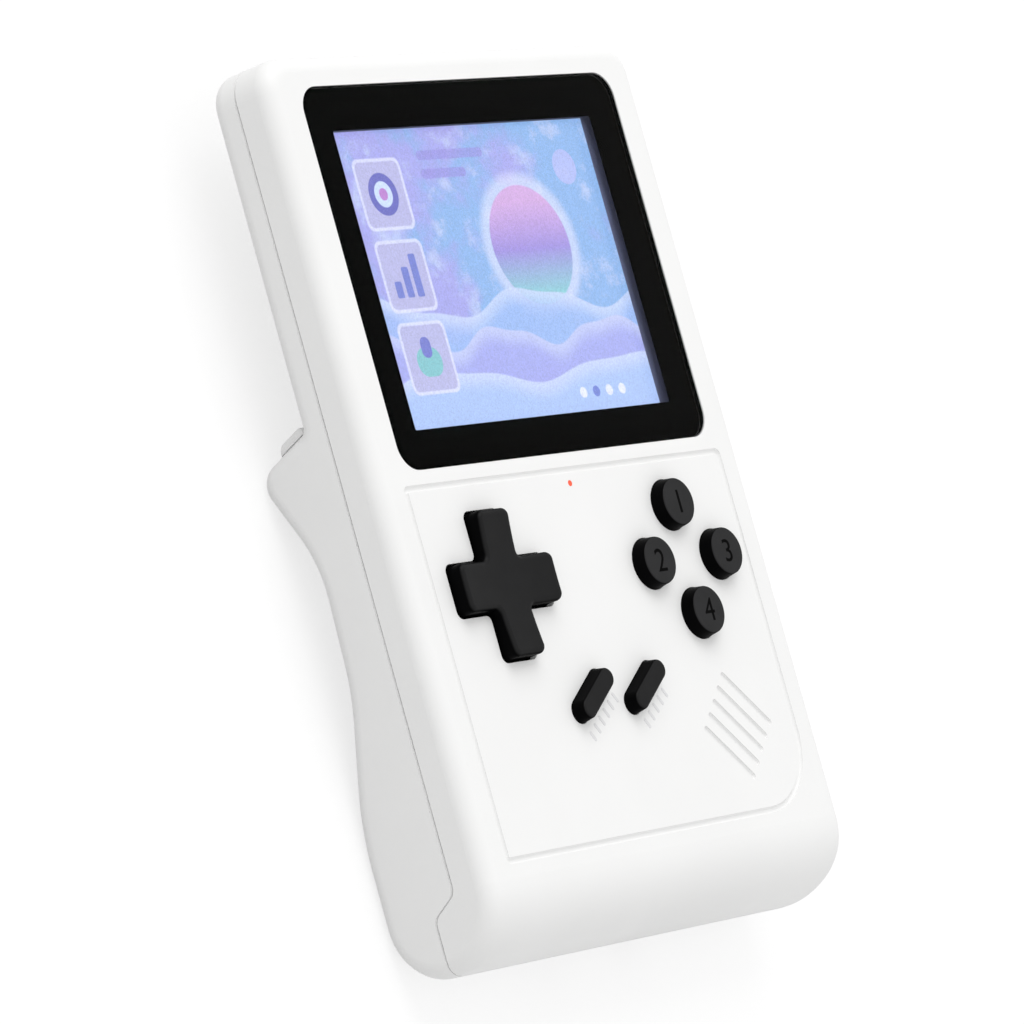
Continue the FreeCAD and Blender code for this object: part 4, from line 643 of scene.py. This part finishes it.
def cone_paper():
    """Pressed paper with fibres and rings of the press."""
    material, tree, shader = finish("cone_paper", {"Specular IOR Level": 0.2, "Roughness": 0.9})
    low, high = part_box("speaker_cone")
    middle = (low + high) / 2
    point = object_point(tree, location=(-middle.x, -middle.y, 0.0))
    rings = add(tree, "ShaderNodeTexWave", wave_type="RINGS", rings_direction="Z")
    tree.links.new(point, rings.inputs["Vector"])
    rings.inputs["Scale"].default_value = 400.0
    fibres = noise(tree, object_point(tree, scale=(1.0, 0.2, 1.0)), 5000.0, 3.0)
    made = use(tree, "moulding", colour=(0.035, 0.034, 0.033), shade=(0.06, 0.058, 0.055), grain=0.0005,
               patch=0.003)
    tree.links.new(made["colour"], shader.inputs["Base Color"])
    raise_grain(tree, shader, calc(tree, "MULTIPLY_ADD", rings.outputs["Fac"], 0.6, fibres), 0.00003)
    return material


def cell_film():
    """Printed film shrunk round the cell, with a pale band at one end."""
    material, tree, shader = finish("cell_film", {"Specular IOR Level": 0.5})
    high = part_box("battery_cell")[1]
    point = object_point(tree, scale=METRE_TO_MM)
    place = add(tree, "ShaderNodeSeparateXYZ")
    tree.links.new(point, place.inputs[0])
    start = high.x / MM - BAND_WIDTH
    band = span(tree, place.outputs["X"], start, start + 0.1)
    made = use(tree, "moulding", colour=(0.035, 0.085, 0.20), shade=(0.028, 0.066, 0.16), grain=0.0004,
               patch=0.010)
    feed(tree, shader.inputs["Base Color"], blend(tree, band, made["colour"], (0.55, 0.57, 0.60)))
    feed(tree, shader.inputs["Roughness"], span(tree, made["tone"], 0.0, 1.0, 0.24, 0.38))
    folds = noise(tree, object_point(tree, scale=(0.25, 1.0, 1.0)), 700.0, 2.0)
    raise_grain(tree, shader, folds, 0.00006)
    return material


# Placing finishes and pieces

def coat(material, *nodes):
    """Gives CAD nodes a material."""
    for name in nodes:
        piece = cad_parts.get(name)
        if piece is None:
            raise RuntimeError(f"The frame has no node {name}")
        piece.data.materials.clear()
        piece.data.materials.append(material)


def place_piece(name, shape, material, body):
    """Makes an object of a finished bmesh and lets it ride on its body."""
    mesh = bpy.data.meshes.new(name)
    bmesh.ops.recalc_face_normals(shape, faces=shape.faces)
    shape.to_mesh(mesh)
    shape.free()
    if not mesh.polygons:
        raise RuntimeError(f"{name} came out empty")
    mesh.materials.append(material)
    piece = bpy.data.objects.new(name, mesh)
    bpy.context.scene.collection.objects.link(piece)
    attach(piece, body)
    return piece


def number_shape(text, height, thickness):
    """A plain number as a flat solid, centred, standing on z = 0."""
    curve = bpy.data.curves.new("number", "FONT")
    curve.body = text
    curve.extrude = LETTER_DEPTH
    curve.resolution_u = 6
    holder = bpy.data.objects.new("number", curve)
    bpy.context.scene.collection.objects.link(holder)
    bpy.context.view_layer.update()
    graph = bpy.context.evaluated_depsgraph_get()
    mesh = bpy.data.meshes.new_from_object(holder.evaluated_get(graph))
    shape = bmesh.new()
    shape.from_mesh(mesh)
    bpy.data.objects.remove(holder)
    bpy.data.curves.remove(curve)
    bpy.data.meshes.remove(mesh)
    bmesh.ops.remove_doubles(shape, verts=shape.verts, dist=LETTER_WELD)
    spots = [vert.co for vert in shape.verts]
    low = Vector([min(spot[axis] for spot in spots) for axis in range(3)])
    high = Vector([max(spot[axis] for spot in spots) for axis in range(3)])
    bmesh.ops.translate(shape, vec=(-(low.x + high.x) / 2, -(low.y + high.y) / 2, -low.z), verts=shape.verts)
    size = height / (high.y - low.y)
    bmesh.ops.scale(shape, vec=(size, size, thickness / (high.z - low.z)), verts=shape.verts)
    return shape


def ridge(shape, length, width, thickness, place):
    """Adds one ridge with round ends, standing along Y, to a shape."""
    bar = bmesh.new()
    bmesh.ops.create_cube(bar, size=1.0)
    bmesh.ops.scale(bar, vec=(width, length, thickness), verts=bar.verts)
    upright = [edge for edge in bar.edges if abs(edge.verts[0].co.z - edge.verts[1].co.z) > thickness / 2]
    bmesh.ops.bevel(bar, geom=upright, offset=width * RIDGE_END_SHARE, affect="EDGES", segments=4,
                    profile=0.5, material=-1)
    rim = [edge for edge in bar.edges if min(vert.co.z for vert in edge.verts) > thickness / 2 - 1e-7]
    bmesh.ops.bevel(bar, geom=rim, offset=thickness * RIDGE_RIM_SHARE, affect="EDGES", segments=2,
                    profile=0.5, material=-1)
    bmesh.ops.transform(bar, matrix=place, verts=bar.verts)
    mesh = bpy.data.meshes.new("ridge")
    bar.to_mesh(mesh)
    bar.free()
    shape.from_mesh(mesh)
    bpy.data.meshes.remove(mesh)


# Operators

class CONSOLE_OT_share_patterns(bpy.types.Operator):
    """Build the node groups that several finishes use"""
    bl_idname = "console.share_patterns"
    bl_label = "Build shared patterns"

    def execute(self, context):
        build_moulding()
        build_painted_top_light_and_flank_shade()
        build_brushing()
        build_scuffs()
        build_rounded_panel()
        build_rolling_hill()
        return {"FINISHED"}


class CONSOLE_OT_finish_shell(bpy.types.Operator):
    """Give the case halves, the cover and the shoulder buttons their white plastic"""
    bl_idname = "console.finish_shell"
    bl_label = "Finish white shell"

    def execute(self, context):
        finishes = context.scene.console_shell
        white = moulded("white_shell", finishes.colour, finishes.shade, rough=(0.36, 0.46),
                        grain=finishes.grain, depth=finishes.depth, patch=0.02, specular=0.25)
        coat(white, "front_shell", "rear_shell")
        cover = moulded("white_cover", finishes.colour, finishes.shade, rough=(0.40, 0.50),
                        grain=finishes.grain * 1.3, depth=finishes.depth * 1.4, patch=0.015, specular=0.25)
        coat(cover, "battery_cover")
        button = moulded("white_button", finishes.colour, finishes.shade, rough=(0.30, 0.38),
                         grain=finishes.grain * 0.8, depth=finishes.depth * 0.7, patch=0.008, specular=0.25)
        coat(button, "shoulder_left", "shoulder_right")
        return {"FINISHED"}


class CONSOLE_OT_finish_controls(bpy.types.Operator):
    """Give the cross, the round and slanted buttons, the wheel and the slider their black plastic"""
    bl_idname = "console.finish_controls"
    bl_label = "Finish black controls"

    def execute(self, context):
        finishes = context.scene.console_controls
        # Painted light and shade on every control; the round buttons get a copy with brighter painted light
        # on their tops
        coat(black_plastic("black_control", finishes, 1.0), "dpad", "select_button", "start_button",
             "volume_wheel", "power_slider")
        coat(black_plastic("black_button", finishes, finishes.button), "button_top", "button_left",
             "button_right", "button_bottom")
        return {"FINISHED"}


class CONSOLE_OT_dress_display(bpy.types.Operator):
    """Give the display its clear lens, black border, lit picture and lamp"""
    bl_idname = "console.dress_display"
    bl_label = "Dress display and lamp"

    def execute(self, context):
        coat(clear_lens(), "display_lens")
        coat(painted_border(), "lens_border")
        coat(lit_screen(context.scene.console_picture), "lcd_glass")
        coat(lamp_guide(), "light_pipe")
        return {"FINISHED"}


class CONSOLE_OT_finish_insides(bpy.types.Operator):
    """Give the pieces inside the case their plastics, rubber, metals and boards"""
    bl_idname = "console.finish_insides"
    bl_label = "Finish inner pieces"

    def execute(self, context):
        coat(moulded("lcd_tray_white", (0.72, 0.73, 0.75), (0.66, 0.67, 0.69), rough=(0.35, 0.5),
                     grain=0.0002, depth=0.000006), "lcd_frame")
        coat(moulded("foam_tape", (0.02, 0.02, 0.021), (0.035, 0.035, 0.036), rough=(0.85, 0.95),
                     grain=0.0004, depth=0.00006, patch=0.004, specular=0.1), "lcd_tape")
        coat(ribbon_film(), "display_ribbon")
        coat(moulded("socket_black", (0.012, 0.012, 0.013), (0.02, 0.02, 0.021), rough=(0.34, 0.45),
                     grain=0.00018, depth=0.000008, patch=0.004, specular=0.35),
             "ribbon_socket", "headphone_jack", "contact_block")
        coat(board(), "main_board", "shoulder_board", "port_board")
        coat(moulded("chip_resin", (0.014, 0.014, 0.015), (0.024, 0.024, 0.024), rough=(0.5, 0.62),
                     grain=0.0001, depth=0.000007, patch=0.003, specular=0.3),
             "board_chips", "shoulder_switches", "volume_pot")
        coat(moulded("lamp_resin", (0.86, 0.80, 0.45), (0.9, 0.88, 0.7), rough=(0.15, 0.25),
                     grain=0.0002, depth=0.000004, patch=0.001, specular=0.5), "led_chip")
        coat(moulded("dome_rubber", (0.13, 0.13, 0.135), (0.10, 0.10, 0.105), rough=(0.7, 0.85),
                     grain=0.0003, depth=0.00002, patch=0.005, specular=0.2),
             "dpad_membrane", "action_membrane", "pill_membrane")
        coat(metal("steel_plate", (0.60, 0.60, 0.61), (0.46, 0.45, 0.43), rough=(0.24, 0.42), line=0.00009),
             "speaker_frame", "power_switch", "usb_port", "dpad_pivot")
        coat(metal("zinc_screw", (0.55, 0.55, 0.56), (0.40, 0.39, 0.36), rough=(0.3, 0.5), line=0.00005),
             "board_screws", "port_screws", "shoulder_screws")
        coat(metal("blackened_screw", (0.035, 0.035, 0.038), (0.06, 0.055, 0.05), rough=(0.35, 0.55),
                   line=0.00006), "case_screws")
        coat(metal("plated_contact", (0.80, 0.56, 0.20), (0.62, 0.38, 0.14), rough=(0.18, 0.34),
                   line=0.00006), "battery_contacts")
        coat(cone_paper(), "speaker_cone")
        coat(cell_film(), "battery_cell")
        return {"FINISHED"}


class CONSOLE_OT_print_numbers(bpy.types.Operator):
    """Print a plain number on each round button"""
    bl_idname = "console.print_numbers"
    bl_label = "Print button numbers"

    def execute(self, context):
        sizes = context.scene.console_numbers
        shade = tuple(channel * 1.6 for channel in sizes.ink)
        ink = moulded("number_ink", sizes.ink, shade, rough=(0.5, 0.6), grain=0.0001, depth=0.000003,
                      patch=0.002, specular=0.0)
        for text, button in zip(sizes.order, ("button_top", "button_left", "button_right", "button_bottom")):
            low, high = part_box(button)
            shape = number_shape(text, sizes.height, sizes.relief + INK_SUNK)
            place = Vector(((low.x + high.x) / 2, (low.y + high.y) / 2, high.z - INK_SUNK))
            bmesh.ops.translate(shape, vec=place, verts=shape.verts)
            place_piece(f"number_{button}", shape, ink, button)
        return {"FINISHED"}


class CONSOLE_OT_add_marks(bpy.types.Operator):
    """Add the rows of small ridges beside the two slanted buttons"""
    bl_idname = "console.add_marks"
    bl_label = "Add ridge rows"

    def execute(self, context):
        sizes = context.scene.console_marks
        shade = tuple(channel * 0.96 for channel in sizes.ink)
        grey = moulded("mark_grey", sizes.ink, shade, rough=(0.4, 0.5), grain=0.00016, depth=0.000004,
                       patch=0.004, specular=0.4)
        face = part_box("front_shell")[1].z
        thickness = sizes.relief * (1 + RIDGE_SUNK_SHARE)
        for button, count in (("select_button", 6), ("start_button", 5)):
            low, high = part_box(button)
            level = face + sizes.relief - thickness / 2
            middle = Vector(((low.x + high.x) / 2, (low.y + high.y) / 2, level))
            slant = Matrix.Translation(middle) @ Matrix.Rotation(sizes.turn, 4, "Z")
            shape = bmesh.new()
            for step in range(count):
                along = (step - (count - 1) / 2) * sizes.pitch
                place = slant @ Matrix.Translation((along, -sizes.offset, 0.0))
                ridge(shape, sizes.length, sizes.width, thickness, place)
            place_piece(f"marks_{button}", shape, grey, "case")
        return {"FINISHED"}


class CONSOLE_OT_set_stage(bpy.types.Operator):
    """Set the pale floor, the soft lamp, the room light and the camera"""
    bl_idname = "console.set_stage"
    bl_label = "Set studio"

    def execute(self, context):
        stage = context.scene.console_stage
        self.lay_floor(stage)
        self.light_room(context.scene, stage)
        self.hang_lamp(stage)
        self.aim_camera(context.scene, stage)
        return {"FINISHED"}

    def lay_floor(self, stage):
        """A pale disc just under the console, which the camera sees lifted to white."""
        material, tree, shader = finish("pale_floor", {"Roughness": 0.9, "Specular IOR Level": 0.0})
        shade = tuple(channel * 0.99 for channel in stage.floor)
        made = use(tree, "moulding", colour=stage.floor, shade=shade, grain=0.002, patch=0.3)
        seen = seen_rays(tree)
        share = span(tree, seen, 0.0, 1.0, 1.0, stage.shadow)
        feed(tree, shader.inputs["Base Color"], blend(tree, 1.0, made["colour"], share, "MULTIPLY"))
        shader.inputs["Emission Color"].default_value = (1, 1, 1, 1)
        feed(tree, shader.inputs["Emission Strength"], calc(tree, "MULTIPLY", seen, stage.lift))
        shape = bmesh.new()
        bmesh.ops.create_circle(shape, cap_ends=True, segments=64, radius=FLOOR_RADIUS)
        bmesh.ops.translate(shape, vec=(0, 0, -FLOOR_DROP), verts=shape.verts)
        mesh = bpy.data.meshes.new("floor")
        shape.to_mesh(mesh)
        shape.free()
        mesh.materials.append(material)
        floor = bpy.data.objects.new("floor", mesh)
        bpy.context.scene.collection.objects.link(floor)

    def light_room(self, scene, stage):
        """Even light from all around, and a white background."""
        world = bpy.data.worlds.new("studio")
        scene.world = world
        world.use_nodes = True
        tree = world.node_tree
        background = tree.nodes["Background"]
        background.inputs["Color"].default_value = (1, 1, 1, 1)
        feed(tree, background.inputs["Strength"], span(tree, seen_rays(tree), 0.0, 1.0, stage.ambient, 1.0))

    def hang_lamp(self, stage):
        """One large soft lamp behind the console's top edge, turned to its middle."""
        light = bpy.data.lights.new("key_lamp", "AREA")
        light.shape = "SQUARE"
        light.size = stage.key_size
        light.energy = stage.key
        lamp = bpy.data.objects.new("key_lamp", light)
        lamp.location = stage.key_place
        lamp.rotation_euler = (Vector((0, 0, 0)) - lamp.location).to_track_quat("-Z", "Y").to_euler()
        bpy.context.scene.collection.objects.link(lamp)

    def aim_camera(self, scene, stage):
        """The camera of the photograph."""
        lens = bpy.data.cameras.new("photo_camera")
        lens.sensor_fit = "HORIZONTAL"
        lens.sensor_width = SENSOR_WIDTH
        lens.lens = stage.lens
        lens.clip_start = 0.01
        lens.clip_end = 50.0
        camera = bpy.data.objects.new("photo_camera", lens)
        camera.location = stage.place
        camera.rotation_euler = stage.turn
        scene.collection.objects.link(camera)
        scene.camera = camera
        scene.view_settings.view_transform = "Standard"


class CONSOLE_PT_sidebar(bpy.types.Panel):
    """Finishes, marks, picture and studio of the console"""
    bl_idname = "CONSOLE_PT_sidebar"
    bl_label = "Handheld console"
    bl_space_type = "VIEW_3D"
    bl_region_type = "UI"
    bl_category = "Console"

    def draw(self, context):
        for operator, group in STEPS:
            box = self.layout.box()
            box.operator(operator)
            if group:
                settings = getattr(context.scene, group)
                for name in settings.bl_rna.properties.keys():
                    if name not in ("rna_type", "name"):
                        box.prop(settings, name)


STEPS = (
    ("console.share_patterns", None),
    ("console.finish_shell", "console_shell"),
    ("console.finish_controls", "console_controls"),
    ("console.dress_display", "console_picture"),
    ("console.finish_insides", None),
    ("console.print_numbers", "console_numbers"),
    ("console.add_marks", "console_marks"),
    ("console.set_stage", "console_stage"),
)
SETTINGS = {
    "console_shell": ShellFinish,
    "console_controls": ControlFinish,
    "console_numbers": NumberSizes,
    "console_marks": MarkSizes,
    "console_picture": ScreenPicture,
    "console_stage": StageSettings,
}
OPERATORS = (CONSOLE_OT_share_patterns, CONSOLE_OT_finish_shell, CONSOLE_OT_finish_controls,
             CONSOLE_OT_dress_display, CONSOLE_OT_finish_insides, CONSOLE_OT_print_numbers,
             CONSOLE_OT_add_marks, CONSOLE_OT_set_stage)
CLASSES = (*SETTINGS.values(), *OPERATORS, CONSOLE_PT_sidebar)


def register():
    for item in CLASSES:
        bpy.utils.register_class(item)
    for name, kind in SETTINGS.items():
        setattr(bpy.types.Scene, name, PointerProperty(type=kind))


def unregister():
    for name in SETTINGS:
        delattr(bpy.types.Scene, name)
    for item in reversed(CLASSES):
        bpy.utils.unregister_class(item)


def main():
    """Registers the add-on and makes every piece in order."""
    register()
    for operator, _ in STEPS:
        name = operator.removeprefix("console.")
        getattr(bpy.ops.console, name)()


if __name__ == "__main__":
    main()
